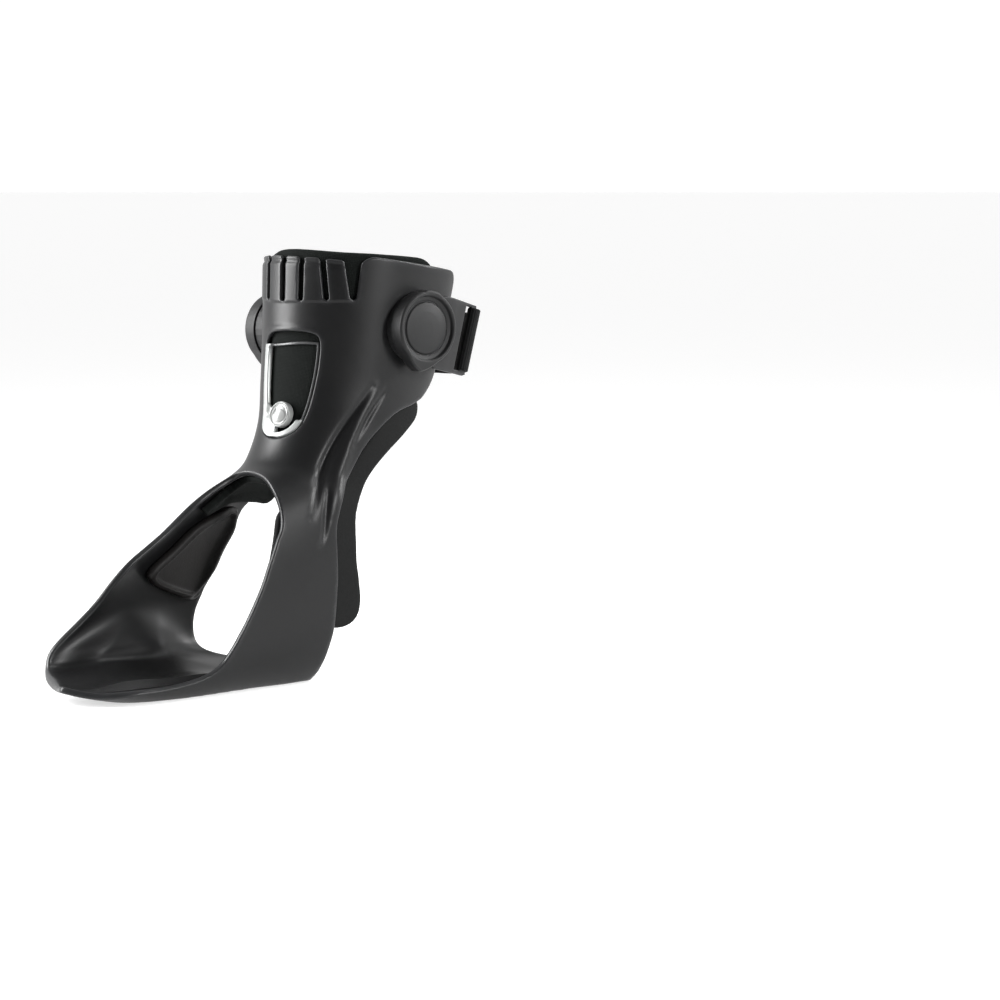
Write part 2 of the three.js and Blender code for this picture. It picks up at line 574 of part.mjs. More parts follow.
function strapSolid() {
  const loops = [barLoop(PIVOTS.near, false), barLoop(PIVOTS.far, true)];
  const flat = wasm.CrossSection.union([band(strapPath(), STRAP), ...loops.map(({ ring }) => ring)]);
  const open = loops.reduce((shape, { hole }) => shape.subtract(hole), flat);
  const level = open.extrude(STRAP_WIDTH).translate([0, 0, -STRAP_WIDTH / 2]);
  const farY = -barAt(PIVOTS.far)[1] - STRAP;
  return onCuff(
    level.warp((point) => {
      point[2] -= FAR_PIVOT_DROP * ease(point[1] / farY);
    }),
  );
}

const nearPivot = pivotPieces(NEAR_PIVOT_BACK, -1);
const farPivot = pivotPieces(FAR_PIVOT_BACK, 1);

const PIECES = {
  shell,
  calf_liner: liner,
  near_ankle_pad: nearPad,
  far_ankle_pad: farPad,
  window_frame: windowFrame,
  valve_body: valveBody,
  valve_cap: valveCap,
  near_pivot_base: nearPivot.base,
  near_pivot_cap: nearPivot.cap,
  near_buckle: buckle(...PIVOTS.near),
  far_pivot_base: farPivot.base,
  far_pivot_cap: farPivot.cap,
  far_buckle: mirrorFar(buckle(...PIVOTS.far)),
  calf_strap: strapSolid(),
};

// The brace stands on z = 0 with the middle of its bounds over the origin.
const { min, max } = wasm.Manifold.compose(Object.values(PIECES)).boundingBox();
const toOrigin = [-(min[0] + max[0]) / 2, -(min[1] + max[1]) / 2, -min[2]];

const brace = new THREE.Group();
for (const [name, solid] of Object.entries(PIECES)) {
  const mesh = solid.translate(toOrigin).getMesh();
  const geometry = new THREE.BufferGeometry();
  geometry.setAttribute("position", new THREE.BufferAttribute(new Float32Array(mesh.vertProperties), 3));
  geometry.setIndex(new THREE.BufferAttribute(new Uint32Array(mesh.triVerts), 1));
  const made = new THREE.Mesh(geometry);
  made.name = name;
  brace.add(made);
}
export default brace;
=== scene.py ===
# A foot drop brace dressed for its picture: moulded shell, padded liner, ankle pads, window
# frame, valve, strap knobs, buckles and webbing strap, on a pale floor.
# Shapes are worked out in millimetres in the shell's own frame and placed in metres.
import math

import bpy
import numpy as np
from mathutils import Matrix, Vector


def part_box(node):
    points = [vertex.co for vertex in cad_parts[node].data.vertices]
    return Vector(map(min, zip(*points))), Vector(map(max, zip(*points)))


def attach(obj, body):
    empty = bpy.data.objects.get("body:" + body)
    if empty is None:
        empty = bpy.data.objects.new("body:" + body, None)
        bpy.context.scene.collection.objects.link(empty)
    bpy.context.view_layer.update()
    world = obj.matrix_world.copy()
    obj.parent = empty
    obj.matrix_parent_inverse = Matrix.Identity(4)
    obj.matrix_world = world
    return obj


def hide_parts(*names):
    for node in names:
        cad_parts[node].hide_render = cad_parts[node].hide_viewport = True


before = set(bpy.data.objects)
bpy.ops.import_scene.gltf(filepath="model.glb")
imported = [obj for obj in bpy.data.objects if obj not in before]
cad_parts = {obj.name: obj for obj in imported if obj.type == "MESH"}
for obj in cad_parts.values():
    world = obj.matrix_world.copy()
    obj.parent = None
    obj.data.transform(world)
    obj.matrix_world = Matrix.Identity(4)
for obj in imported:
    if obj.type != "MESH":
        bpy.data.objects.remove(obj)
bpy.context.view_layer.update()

# Driving sizes, in millimetres and degrees
LENGTH = 180.0
HEIGHT = 250.0
HALF = 50.0
CUFF_WALL = 2.4
FOOT_WALL = 3.6
SOLE = 5.0
SCOOP = 5.0
GAP = 0.35
SOFT_GAP = 0.6
LINER = 4.0
PAD = 6.0
STRAP_WIDTH = 38.0
STRAP = 2.6
PIVOT_RADIUS = 21.5
PIVOT_HEIGHT = 13.0
PLATE = 2.6
BASE_TOP = 3.4
HUB = 6.0
LEAN = 12.0
PIVOT_AT = 0.09
FAR_PIVOT_DROP = 8.0
NEAR_PIVOT = {"back": 6.0, "end": 43.0}
FAR_PIVOT = {"back": -13.0, "end": 54.0}
BUCKLE_BEND = 13.0
BAR = 5.0
BEHIND = 67.0
VALVE_RADIUS = 7.7
VALVE = {"at": 0.281, "degrees": -7.5}
SLOT = 2.2
WEDGE = 9.0
WEDGE_FOOT = 3.0
SLOT_FOOT = 26.5
SLOT_FOOT_RISE = 4.8
FINGER_DROP = 3.6
FINGER_PROUD = 0.55
FINGER_GROOVE = 0.55
FINGER_BEVEL = 0.6
WING_EDGE = 50.0
WING_ROUND = 8.0
REAR_ROUND = 7.0
WALL_LEAN = 9.5
LEAN_FROM = 215.0
LEAN_TO = 320.0
NEAR_SOLE_RISE = 2.6
BINDING = 0.9
STITCH = 0.7
PAD_STITCH = 0.5
FAR_BEAD = 0.6
SILVER_STRIP = 3.9
SILVER_CORNER = 12.0
SILVER_ARC = 3.3
THIN_LINE = 1.5
TOP_LINE = 1.45
MM_PER_SHARE = 330.0
MM_PER_DEGREE = 0.8

# Sections of the brace from the cuff to the toe
SECTION_KEYS = [
    "at", "front_x", "front_z", "rear_x", "rear_z", "middle", "near", "far", "front_power", "rear_power",
]
SECTIONS = np.array([
    [0.0, 0.081, 1.004, 0.761, 0.932, 0.04, 1.04, 1.04, 2.1, 2.1],
    [0.13, 0.061, 0.808, 0.678, 0.712, 0.02, 0.95, 0.95, 2.1, 2.1],
    [0.22, 0.042, 0.688, 0.639, 0.6, 0.0, 0.89, 0.89, 2.1, 2.1],
    [0.3, 0.017, 0.596, 0.611, 0.508, -0.04, 0.85, 0.85, 2.1, 2.1],
    [0.38, -0.044, 0.516, 0.583, 0.396, -0.1, 0.81, 0.83, 2.2, 2.2],
    [0.44, -0.108, 0.486, 0.556, 0.272, -0.18, 0.8, 0.84, 2.4, 2.4],
    [0.52, -0.242, 0.452, 0.467, 0.088, -0.24, 0.76, 0.8, 2.5, 2.5],
    [0.62, -0.395, 0.4, 0.189, -0.016, -0.28, 0.72, 0.84, 2.4, 2.5],
    [0.74, -0.57, 0.312, -0.211, -0.018, -0.34, 0.66, 0.9, 2.3, 2.5],
    [0.85, -0.73, 0.216, -0.544, -0.014, -0.38, 0.58, 0.92, 2.2, 2.5],
    [0.94, -0.9, 0.136, -0.81, 0.018, -0.3, 0.5, 0.76, 2.1, 2.4],
    [1.0, -1.0, 0.1, -0.985, 0.074, -0.12, 0.32, 0.46, 2.0, 2.0],
])

# Outlines on the surface: share along the brace, degrees round it
INSTEP_OPENING = [
    [0.434, 0], [0.44, -8], [0.452, -14], [0.475, -21], [0.505, -28], [0.536, -34], [0.568, -39],
    [0.612, -50], [0.66, -69], [0.71, -96], [0.74, -112], [0.768, -124], [0.8, -130], [0.86, -130],
    [0.89, -129], [0.913, -134], [0.933, -147], [0.951, -164], [0.958, -180], [0.957, -200], [1.1, -230],
    [1.1, 230], [0.955, 200], [0.958, 180], [0.955, 158], [0.947, 134], [0.935, 113], [0.917, 98],
    [0.9, 86], [0.875, 77], [0.84, 68], [0.8, 58], [0.76, 45], [0.72, 35], [0.68, 30], [0.62, 24],
    [0.56, 17], [0.52, 14], [0.48, 13], [0.452, 11], [0.438, 6],
]
HEEL_OPENING = [
    [-0.2, 134], [0.0, 134], [0.08, 135], [0.15, 134], [0.19, 124], [0.215, 110], [0.25, 96], [0.31, 80],
    [0.38, 70], [0.43, 60], [0.465, 52], [0.5, 48], [0.56, 58], [0.61, 74], [0.64, 87], [0.665, 99],
    [0.69, 116], [0.7, 128], [0.696, 140], [0.684, 152], [0.662, 165], [0.648, 176], [0.648, 186],
    [0.662, 197], [0.647, 206], [0.625, 216], [0.599, 228], [0.577, 242], [0.545, 264], [0.514, 284],
    [0.485, 296], [0.456, 300], [0.415, 301], [0.377, 298], [0.31, 288], [0.245, 267], [0.215, 246],
    [0.195, 236], [0.151, 226], [0.08, 224], [0.03, 224.5], [-0.02, 226], [-0.2, 228],
]
LINER_OUTLINE = [
    [0.0, 0], [-0.002, -40], [-0.01, -82], [-0.006, -104], [0.04, -118], [0.12, -124], [0.188, -117],
    [0.222, -97], [0.255, -80], [0.325, -62], [0.38, -52], [0.408, -42], [0.426, -28], [0.432, -12],
    [0.43, 2], [0.444, 12], [0.5, 17], [0.56, 19.5], [0.6, 23.5], [0.6, 26.5], [0.56, 26], [0.52, 28],
    [0.496, 32.5], [0.482, 40], [0.468, 52], [0.458, 64], [0.43, 70], [0.385, 72], [0.33, 80], [0.26, 96],
    [0.225, 108], [0.19, 120], [0.12, 124], [0.04, 118], [0.004, 104], [0.0, 80], [0.006, 62], [0.018, 46],
    [0.02, 32], [0.008, 15],
]
NEAR_PAD_OUTLINE = [
    [0.25, -90], [0.218, -106], [0.206, -122], [0.238, -127], [0.277, -114], [0.325, -96], [0.38, -82],
    [0.44, -79], [0.49, -97], [0.517, -115], [0.537, -129], [0.555, -137], [0.573, -139], [0.592, -135],
    [0.61, -124], [0.628, -106], [0.65, -88], [0.656, -78], [0.632, -65], [0.59, -46], [0.54, -33],
    [0.5, -28], [0.468, -34], [0.435, -46], [0.395, -57], [0.335, -67.5], [0.285, -79],
]
FAR_PAD_OUTLINE = [
    [0.57, 28], [0.635, 35], [0.693, 45], [0.702, 57], [0.685, 72], [0.662, 85], [0.642, 84],
    [0.61, 72], [0.567, 56.5], [0.528, 48.5], [0.505, 45], [0.496, 38], [0.512, 31],
]
WINDOW_OUTLINE = [
    [0.131, 4.5], [0.1275, -10], [0.127, -24], [0.137, -30], [0.18, -30.5], [0.23, -28.5], [0.275, -25],
    [0.306, -20.5], [0.325, -13], [0.331, -4], [0.325, 4], [0.307, 9.5], [0.26, 12], [0.2, 13.5],
    [0.158, 13.5], [0.145, 12.3], [0.136, 9.5],
]

# Slots between the fingers and the wedge before each wing: degrees at the top and foot, widths there
SLOTS = [
    [-2, -3, SLOT, SLOT], [-15, -16, SLOT, SLOT], [-27, -32, SLOT, SLOT], [-45, -48, WEDGE, WEDGE_FOOT],
    [12.5, 12, SLOT, SLOT], [26, 30, SLOT, SLOT], [44, 47.5, WEDGE, WEDGE_FOOT],
]

# Relief lines on the shell: share and degrees along each, with its width and height
RELIEF = [
    {"line": [[0.2, -75], [0.27, -62], [0.36, -54], [0.42, -53], [0.48, -58]], "width": 4.4, "height": 2.4},
    {"line": [[0.2, -69], [0.31, -47], [0.4, -40], [0.49, -44]], "width": 1.9, "height": -1.7},
    {"line": [[0.2, -81], [0.26, -69], [0.33, -58]], "width": 1.7, "height": -1.5},
    {"line": [[0.42, -46], [0.47, -51], [0.52, -59]], "width": 1.6, "height": -1.4},
    {
        "line": [[0.132, 13], [0.126, 5], [0.1235, -10], [0.126, -24], [0.134, -31]],
        "width": 1.5, "height": 1.1,
    },
]


# Small maths
def ease(t):
    c = np.clip(t, 0.0, 1.0)
    return c * c * (3 - 2 * c)


def mix(a, b, t):
    return a + (b - a) * t


def unit(v):
    return v / np.maximum(np.linalg.norm(v, axis=-1, keepdims=True), 1e-12)


def along(rows, at):
    """A smooth curve through the rows of a table, at the first column's value."""
    rows = np.asarray(rows, float)
    last = len(rows) - 1
    t = np.clip(np.asarray(at, float), rows[0, 0], rows[-1, 0])
    i = np.searchsorted(rows[1:-1, 0], t, side="left")
    before = rows[np.maximum(np.arange(last + 1) - 1, 0)]
    after = rows[np.minimum(np.arange(last + 1) + 1, last)]
    slopes = (after - before) / (after[:, :1] - before[:, :1])
    step = (rows[i + 1, 0] - rows[i, 0])[..., None]
    u = ((t - rows[i, 0]) / step[..., 0])[..., None]
    return (
        rows[i] * (1 + 2 * u) * (1 - u) ** 2
        + slopes[i] * step * u * (1 - u) ** 2
        + rows[i + 1] * u * u * (3 - 2 * u)
        + slopes[i + 1] * step * u * u * (u - 1)
    )


def loop_through(rows, steps=4):
    """A closed smooth loop through the rows of an outline, in millimetres."""
    b = np.asarray(rows, float)
    a, c, d = np.roll(b, 1, 0), np.roll(b, -1, 0), np.roll(b, -2, 0)
    t = (np.arange(steps) / steps)[None, :, None]
    a, b, c, d = (x[:, None, :] for x in (a, b, c, d))
    curve = 0.5 * (2 * b + (c - a) * t + (2 * a - 5 * b + 4 * c - d) * t**2 + (3 * b - a - 3 * c + d) * t**3)
    return curve.reshape(-1, 2) * [MM_PER_SHARE, MM_PER_DEGREE]


def inside_loop(loop, u, v):
    """Millimetres inside a loop, negative outside it."""
    a = np.asarray(loop, float)
    d = np.roll(a, -1, 0) - a
    length2 = np.maximum((d**2).sum(1), 1e-9)
    slope = d[:, 0] / np.where(d[:, 1] == 0, 1e-9, d[:, 1])
    u, v = np.broadcast_arrays(np.asarray(u, float), np.asarray(v, float))
    flat_u, flat_v = u.ravel(), v.ravel()
    found = np.empty(flat_u.shape)
    for start in range(0, len(flat_u), 6000):
        x = flat_u[start:start + 6000, None] - a[:, 0]
        y = flat_v[start:start + 6000, None] - a[:, 1]
        t = np.clip((x * d[:, 0] + y * d[:, 1]) / length2, 0, 1)
        nearest = np.sqrt(((x - t * d[:, 0]) ** 2 + (y - t * d[:, 1]) ** 2).min(1))
        crosses = ((y < 0) != (y < d[:, 1])) & (x < y * slope)
        odd = crosses.sum(1) % 2 == 1
        found[start:start + 6000] = np.where(odd, nearest, -nearest)
    return found.reshape(u.shape)


# The brace's surface, by share along it and degrees round it
def section_at(at):
    named = dict(zip(SECTION_KEYS, np.moveaxis(along(SECTIONS, at), -1, 0)))
    above = np.minimum(at, 0) * MM_PER_SHARE
    lift = [-above * math.sin(math.radians(LEAN)), -above * math.cos(math.radians(LEAN))]
    ends = {
        end: (named[end + "_x"] * LENGTH + lift[0], named[end + "_z"] * HEIGHT + lift[1])
        for end in ("front", "rear")
    }
    return {**named, **ends, **{side: named[side] * HALF for side in ("middle", "near", "far")}}


def surface(at, degrees):
    at, degrees = np.broadcast_arrays(np.asarray(at, float), np.asarray(degrees, float))
    s = section_at(at)
    co, si = np.cos(np.radians(degrees)), np.sin(np.radians(degrees))
    dx, dz = s["front"][0] - s["rear"][0], s["front"][1] - s["rear"][1]
    half = np.hypot(dx, dz) / 2
    side = np.where(si < 0, s["near"], s["far"])
    power = np.where(co > 0, s["front_power"], s["rear_power"])
    r = (np.abs(co / half) ** power + np.abs(si / side) ** power) ** (-1 / power)
    return np.stack([
        (s["front"][0] + s["rear"][0]) / 2 + r * co * dx / (2 * half),
        s["middle"] + r * si,
        (s["front"][1] + s["rear"][1]) / 2 + r * co * dz / (2 * half),
    ], -1)


def normal_at(at, degrees):
    down = surface(np.minimum(at + 0.002, 1), degrees) - surface(at - 0.002, degrees)
    round_ = surface(at, degrees + 0.5) - surface(at, degrees - 0.5)
    return unit(np.cross(round_, down))


def off_surface(at, degrees, out):
    return surface(at, degrees) + normal_at(at, degrees) * np.asarray(out)[..., None]


def wall_at(at):
    return mix(CUFF_WALL, FOOT_WALL, ease((at - 0.28) / 0.2))


def at_least(points, z):
    points = points.copy()
    points[..., 2] = np.maximum(points[..., 2], z)
    return points


def blended_up(points, z):
    """Points raised to at least z, with a round where the far wall meets the sole."""
    round_ = 1 + 12 * ease((points[..., 1] + 15) / 25)
    apart = np.clip(1 - np.abs(points[..., 2] - z) / round_, 0, 1)
    raised = at_least(points, z)
    raised[..., 2] += apart**2 * round_ / 4
    return raised


# Frames to build in: one square to the leg at the pivots, one square to the shell at a point
PIVOT_SECTION = section_at(np.array(PIVOT_AT))
CUFF_CENTRE = np.array([
    (PIVOT_SECTION["front"][0] + PIVOT_SECTION["rear"][0]) / 2,
    PIVOT_SECTION["middle"],
    (PIVOT_SECTION["front"][1] + PIVOT_SECTION["rear"][1]) / 2,
], float)
SEAT = float(PIVOT_SECTION["near"])
LEG_UP = np.array([math.sin(math.radians(LEAN)), 0, math.cos(math.radians(LEAN))])
LEG_BACK = np.array([LEG_UP[2], 0, -LEG_UP[0]])


def on_cuff(back, out, up, side=-1):
    """A point back from the cuff's middle, out past its side and up the leg, on the near or far side."""
    drop = FAR_PIVOT_DROP if side > 0 else 0
    y = side * (SEAT + np.asarray(out, float))
    return (
        CUFF_CENTRE
        + LEG_BACK * np.asarray(back, float)[..., None]
        + LEG_UP * (np.asarray(up, float) - drop)[..., None]
        + np.array([0, 1, 0]) * y[..., None]
    )


# The solids were moved so that the middle of their bounds is over the origin
def cad_shift():
    low, high = (np.array(corner) * 1000 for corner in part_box("near_pivot_cap"))
    axis = on_cuff(np.array(NEAR_PIVOT["back"]), np.array(PIVOT_HEIGHT), np.array(0.0))
    return np.array([(low[0] + high[0]) / 2 - axis[0], low[1] - axis[1], 0])


SHIFT = cad_shift()


# Mesh pieces
def add_piece(name, points, faces, uv=None, edge=None):
    mesh = bpy.data.meshes.new(name)
    mesh.from_pydata(((np.asarray(points) + SHIFT) / 1000).tolist(), [], faces)
    mesh.validate()
    if uv is not None:
        layer = mesh.uv_layers.new(name="cloth")
        corner = np.empty(len(mesh.loops), int)
        mesh.loops.foreach_get("vertex_index", corner)
        layer.data.foreach_set("uv", (np.asarray(uv)[corner] / 1000).ravel())
    if edge is not None:
        attribute = mesh.attributes.new("edge", "FLOAT", "POINT")
        attribute.data.foreach_set("value", np.asarray(edge, float))
    mesh.shade_smooth()
    obj = bpy.data.objects.new(name, mesh)
    bpy.context.scene.collection.objects.link(obj)
    return obj


def outward(points, faces):
    """The faces turned so that the closed mesh has its outside out."""
    p = np.asarray(points)
    volume = 0.0
    for size in {len(face) for face in faces}:
        f = np.array([face for face in faces if len(face) == size])
        for k in range(1, size - 1):
            volume += (p[f[:, 0]] * np.cross(p[f[:, k]], p[f[:, k + 1]])).sum()
    return faces if volume > 0 else [face[::-1] for face in faces]


def clipped_grid(us, vs, inside, level, period=None):
    """Points and polygons of the part of a grid that is at least level inside an outline."""
    us, vs = np.asarray(us, float), np.asarray(vs, float)
    U, V = np.meshgrid(us, vs, indexing="ij")
    depth = inside(U, V) - level
    pitch = np.minimum(np.gradient(us)[:, None], np.gradient(vs)[None, :])
    close = np.abs(depth) < 0.42 * pitch
    h = 0.25
    gu = (inside(U[close] + h, V[close]) - inside(U[close] - h, V[close])) / (2 * h)
    gv = (inside(U[close], V[close] + h) - inside(U[close], V[close] - h)) / (2 * h)
    size2 = np.maximum(gu**2 + gv**2, 0.2)
    U[close] -= depth[close] * gu / size2
    V[close] -= depth[close] * gv / size2
    depth[close] = 0
    columns = U.shape[1]
    if period:
        U, V = np.hstack([U, U[:, :1]]), np.hstack([V, V[:, :1] + period])
        depth = np.hstack([depth, depth[:, :1]])
    place = {}
    points = []

    def corner(i, j):
        key = (i, j % columns)
        if key not in place:
            place[key] = len(points)
            points.append((U[i, j], V[i, j]))
        return place[key]

    def crossing(a, b):
        key = tuple(sorted([(a[0], a[1] % columns), (b[0], b[1] % columns)]))
        if key not in place:
            t = depth[a] / (depth[a] - depth[b])
            place[key] = len(points)
            points.append((mix(U[a], U[b], t), mix(V[a], V[b], t)))
        return place[key]

    polygons = []
    d = np.stack([depth[:-1, :-1], depth[1:, :-1], depth[1:, 1:], depth[:-1, 1:]])
    for i, j in zip(*np.nonzero((d > 0).any(0))):
        ring = [(i, j), (i + 1, j), (i + 1, j + 1), (i, j + 1)]
        kept = []
        for k, a in enumerate(ring):
            b = ring[(k + 1) % 4]
            if depth[a] >= 0:
                kept.append(corner(*a))
            if depth[a] * depth[b] < 0:
                kept.append(crossing(a, b))
        if len(kept) > 2:
            polygons.append(kept)
    return np.array(points), polygons


def sheet_piece(name, us, vs, inside, skins, rim, period=None, rounds=6, square=1.0, floor=None, mask=None):
    """A sheet with rounded edges: skins(u, v) gives its outer and inner points, and rim its edge's reach.

    Its "edge" attribute comes from mask(u, v), or else tells how near each point is to an edge.
    """
    uv, polygons = clipped_grid(us, vs, inside, rim, period)
    outer, inner = skins(uv[:, 0], uv[:, 1])
    directed = {}
    for polygon in polygons:
        for a, b in zip(polygon, polygon[1:] + polygon[:1]):
            directed[(a, b)] = True
    border = [(a, b) for a, b in directed if (b, a) not in directed]
    ids = sorted({a for a, _ in border})
    rank = {a: k for k, a in enumerate(ids)}
    u, v = uv[ids, 0], uv[ids, 1]
    h = 0.4
    out_u = inside(u - h, v) - inside(u + h, v)
    out_v = inside(u, v - h) - inside(u, v + h)
    size = np.maximum(np.hypot(out_u, out_v), 1e-9)
    step_u, step_v = 0.3 * out_u / size, 0.3 * out_v / size
    here = sum(skins(u, v)) / 2
    there = sum(skins(u + step_u, v + step_v)) / 2
    across = outer[ids] - inner[ids]
    half = np.linalg.norm(across, axis=1, keepdims=True) / 2
    normal = unit(across)
    away = there - here
    away = unit(away - normal * (away * normal).sum(1, keepdims=True))
    middle = (outer[ids] + inner[ids]) / 2
    n = len(uv)
    rings = []
    for k in range(1, rounds):
        angle = math.pi * k / rounds
        co, si = math.cos(angle), math.sin(angle)
        rings.append(
            middle
            + normal * half * math.copysign(abs(co) ** square, co)
            + away * rim * si**square
        )
    points = np.vstack([outer, inner, *rings])
    if floor is not None:
        points[:, 2] = np.maximum(points[:, 2], floor)
    start = [lambda k: ids[k]] + [
        (lambda k, r=r: 2 * n + r * len(ids) + k) for r in range(rounds - 1)
    ] + [lambda k: n + ids[k]]
    faces = [list(p) for p in polygons] + [[n + k for k in reversed(p)] for p in polygons]
    for a, b in border:
        p, q = rank[a], rank[b]
        for r in range(rounds):
            faces.append([start[r](q), start[r](p), start[r + 1](p), start[r + 1](q)])
    ring_uv = np.vstack([uv[ids] + np.stack([step_u, step_v], 1) * rim * 3] * (rounds - 1))
    if mask:
        edge = np.concatenate([mask(uv[:, 0], uv[:, 1])] * 2 + [mask(u, v)] * (rounds - 1))
    else:
        depth = inside(uv[:, 0], uv[:, 1])
        edge = np.concatenate([np.exp(-((depth / 1.6) ** 2))] * 2 + [np.ones(len(ring_uv))])
    return add_piece(name, points, outward(points, faces), np.vstack([uv, uv, ring_uv]), edge)


def turned_piece(name, profile, place, segments=96, bump=None):
    """A turned solid: rows of radius and height from the axis to the axis, placed by place(x, y, h)."""
    rows = np.array(profile, float)
    angles = np.arange(segments) * 2 * math.pi / segments
    x = rows[1:-1, :1] * np.cos(angles)
    y = rows[1:-1, :1] * np.sin(angles)
    h = np.repeat(rows[1:-1, 1:], segments, 1)
    if bump:
        x, y, h = bump(x, y, h)
    ends = [place(np.array([0.0]), np.array([0.0]), rows[[k], 1]) for k in (0, -1)]
    points = np.vstack([place(x.ravel(), y.ravel(), h.ravel()), *ends])
    count = len(rows) - 2
    faces = []
    for i in range(count - 1):
        for j in range(segments):
            k = (j + 1) % segments
            faces.append([i * segments + j, i * segments + k, (i + 1) * segments + k, (i + 1) * segments + j])
    for j in range(segments):
        k = (j + 1) % segments
        faces.append([count * segments, k, j])
        faces.append([count * segments + 1, (count - 1) * segments + j, (count - 1) * segments + k])
    return add_piece(name, points, outward(points, faces))


def rounded(profile, radius=0.5, steps=4):
    """The profile with its corners rounded."""
    rows = np.array(profile, float)
    made = [rows[0]]
    for a, b, c in zip(rows[:-2], rows[1:-1], rows[2:]):
        into, out = np.linalg.norm(b - a), np.linalg.norm(c - b)
        r = min(radius, 0.45 * into, 0.45 * out)
        start, end = b + (a - b) / into * r, b + (c - b) / out * r
        for t in np.linspace(0, 1, steps + 1):
            made.append((1 - t) ** 2 * start + 2 * t * (1 - t) * b + t * t * end)
    made.append(rows[-1])
    return made


def spaced(*stretches):
    """Grid lines over stretches of (start, end, spacing) that follow on."""
    lines = []
    for start, end, spacing in stretches:
        count = max(1, round((end - start) / spacing))
        lines.extend(start + (end - start) * k / count for k in range(count))
    return np.array(lines + [stretches[-1][1]])


# The shell
LOOPS = {
    name: loop_through(rows)
    for name, rows in {
        "instep": INSTEP_OPENING,
        "heel": HEEL_OPENING,
        "liner": LINER_OUTLINE,
        "near_pad": NEAR_PAD_OUTLINE,
        "far_pad": FAR_PAD_OUTLINE,
        "window": WINDOW_OUTLINE,
    }.items()
}


def slot_foot(degrees):
    """How far down the slots reach: less toward the wings, so that their feet look level."""
    return SLOT_FOOT - SLOT_FOOT_RISE * np.minimum(np.abs(degrees) / WING_EDGE, 1) ** 1.5


def slot_loop(top, foot, top_width, foot_width):
    """A slot's outline, rounded at its foot."""
    radius = foot_width / 2
    foot_u = float(slot_foot(np.array(foot))) - radius
    arc = [
        [foot_u + radius * math.sin(a), foot * MM_PER_DEGREE - radius * math.cos(a)]
        for a in np.linspace(0, math.pi, 9)
    ]
    sides = [[0.0, top * MM_PER_DEGREE + s * top_width / 2] for s in (-1, 1)]
    tops = [[-20.0, top * MM_PER_DEGREE + s * top_width / 2] for s in (-1, 1)]
    return np.array([tops[0], sides[0], *arc, sides[1], tops[1]])


SLOT_LOOPS = [slot_loop(*row) for row in SLOTS]


def top_drop(front):
    """How far the cuff's top edge lies below its highest line: the fingers, then each wing's round corner."""
    past = (np.abs(front) - WING_EDGE) * MM_PER_DEGREE
    inner = np.clip(WING_ROUND - past, 0, WING_ROUND)
    corner = WING_ROUND - np.sqrt(WING_ROUND**2 - inner**2)
    return np.where(past < 0, FINGER_DROP, corner)


def front_of(v):
    return np.where(v > 180 * MM_PER_DEGREE, v - 360 * MM_PER_DEGREE, v)


def shell_inside(u, v):
    front = front_of(v)
    back = np.where(v < 0, v + 360 * MM_PER_DEGREE, v)
    heel = inside_loop(LOOPS["heel"], u, back)
    cut = np.maximum(inside_loop(LOOPS["instep"], u, front), inside_loop(LOOPS["window"], u, front))
    for loop in SLOT_LOOPS:
        cut = np.maximum(cut, inside_loop(loop, u, front))
    below = u - top_drop(front / MM_PER_DEGREE)
    top = np.where(u > 20, 99.0, below)
    corner = REAR_ROUND - np.hypot(np.maximum(REAR_ROUND - top, 0), np.maximum(REAR_ROUND + heel, 0))
    rear = np.where(np.maximum(-top, heel) > -REAR_ROUND, corner, np.minimum(top, -heel))
    return np.minimum(-cut, rear)


def line_through(rows, count=16):
    """Points along a smooth line through the rows, in millimetres."""
    numbered = np.column_stack([np.arange(len(rows)), rows])
    return along(numbered, np.linspace(0, len(rows) - 1, count))[:, 1:] * [MM_PER_SHARE, MM_PER_DEGREE]


def relief(u, v):
    total = np.zeros(u.shape)
    for row in RELIEF:
        line = line_through(row["line"])
        best = np.full(u.shape, 1e9)
        share = np.zeros(u.shape)
        for i, (a, b) in enumerate(zip(line[:-1], line[1:])):
            d = b - a
            t = np.clip(((u - a[0]) * d[0] + (v - a[1]) * d[1]) / (d**2).sum(), 0, 1)
            off = np.hypot(u - a[0] - t * d[0], v - a[1] - t * d[1])
            share = np.where(off < best, (i + t) / (len(line) - 1), share)
            best = np.minimum(off, best)
        fade = np.sin(np.pi * np.clip(share, 0.02, 0.98)) ** 0.6
        total += row["height"] * fade * np.exp(-((best / row["width"]) ** 2))
    return total


def finger_relief(u, v):
    """The fingers stand a little proud of the band below them, with a bevel and a groove at their tops."""
    front = np.abs(v) / MM_PER_DEGREE
    here = ease((49 - front) / 2)
    proud = FINGER_PROUD * (1 - ease((u - slot_foot(front) - 0.4) / 0.8))
    down = u - FINGER_DROP
    groove = FINGER_GROOVE * np.exp(-(((down - 2.5) / 0.8) ** 2))
    bevel = FINGER_BEVEL * (1 - ease((down - 3.0) / 1.2)) + groove
    return here * (proud - bevel)


def wall_lean(u, v, z):
    """How much the far wall's inner face leans in toward the sole, away from the wall's own edges."""
    front = v / MM_PER_DEGREE
    place = ease((u - LEAN_FROM) / 45) * ease((LEAN_TO - u) / 38) * ease((front - 12) / 35)
    depth = np.maximum(shell_inside(u, v), 0)
    return WALL_LEAN * place * ease(depth / 22) * (1 - ease((z - 22) / 30))


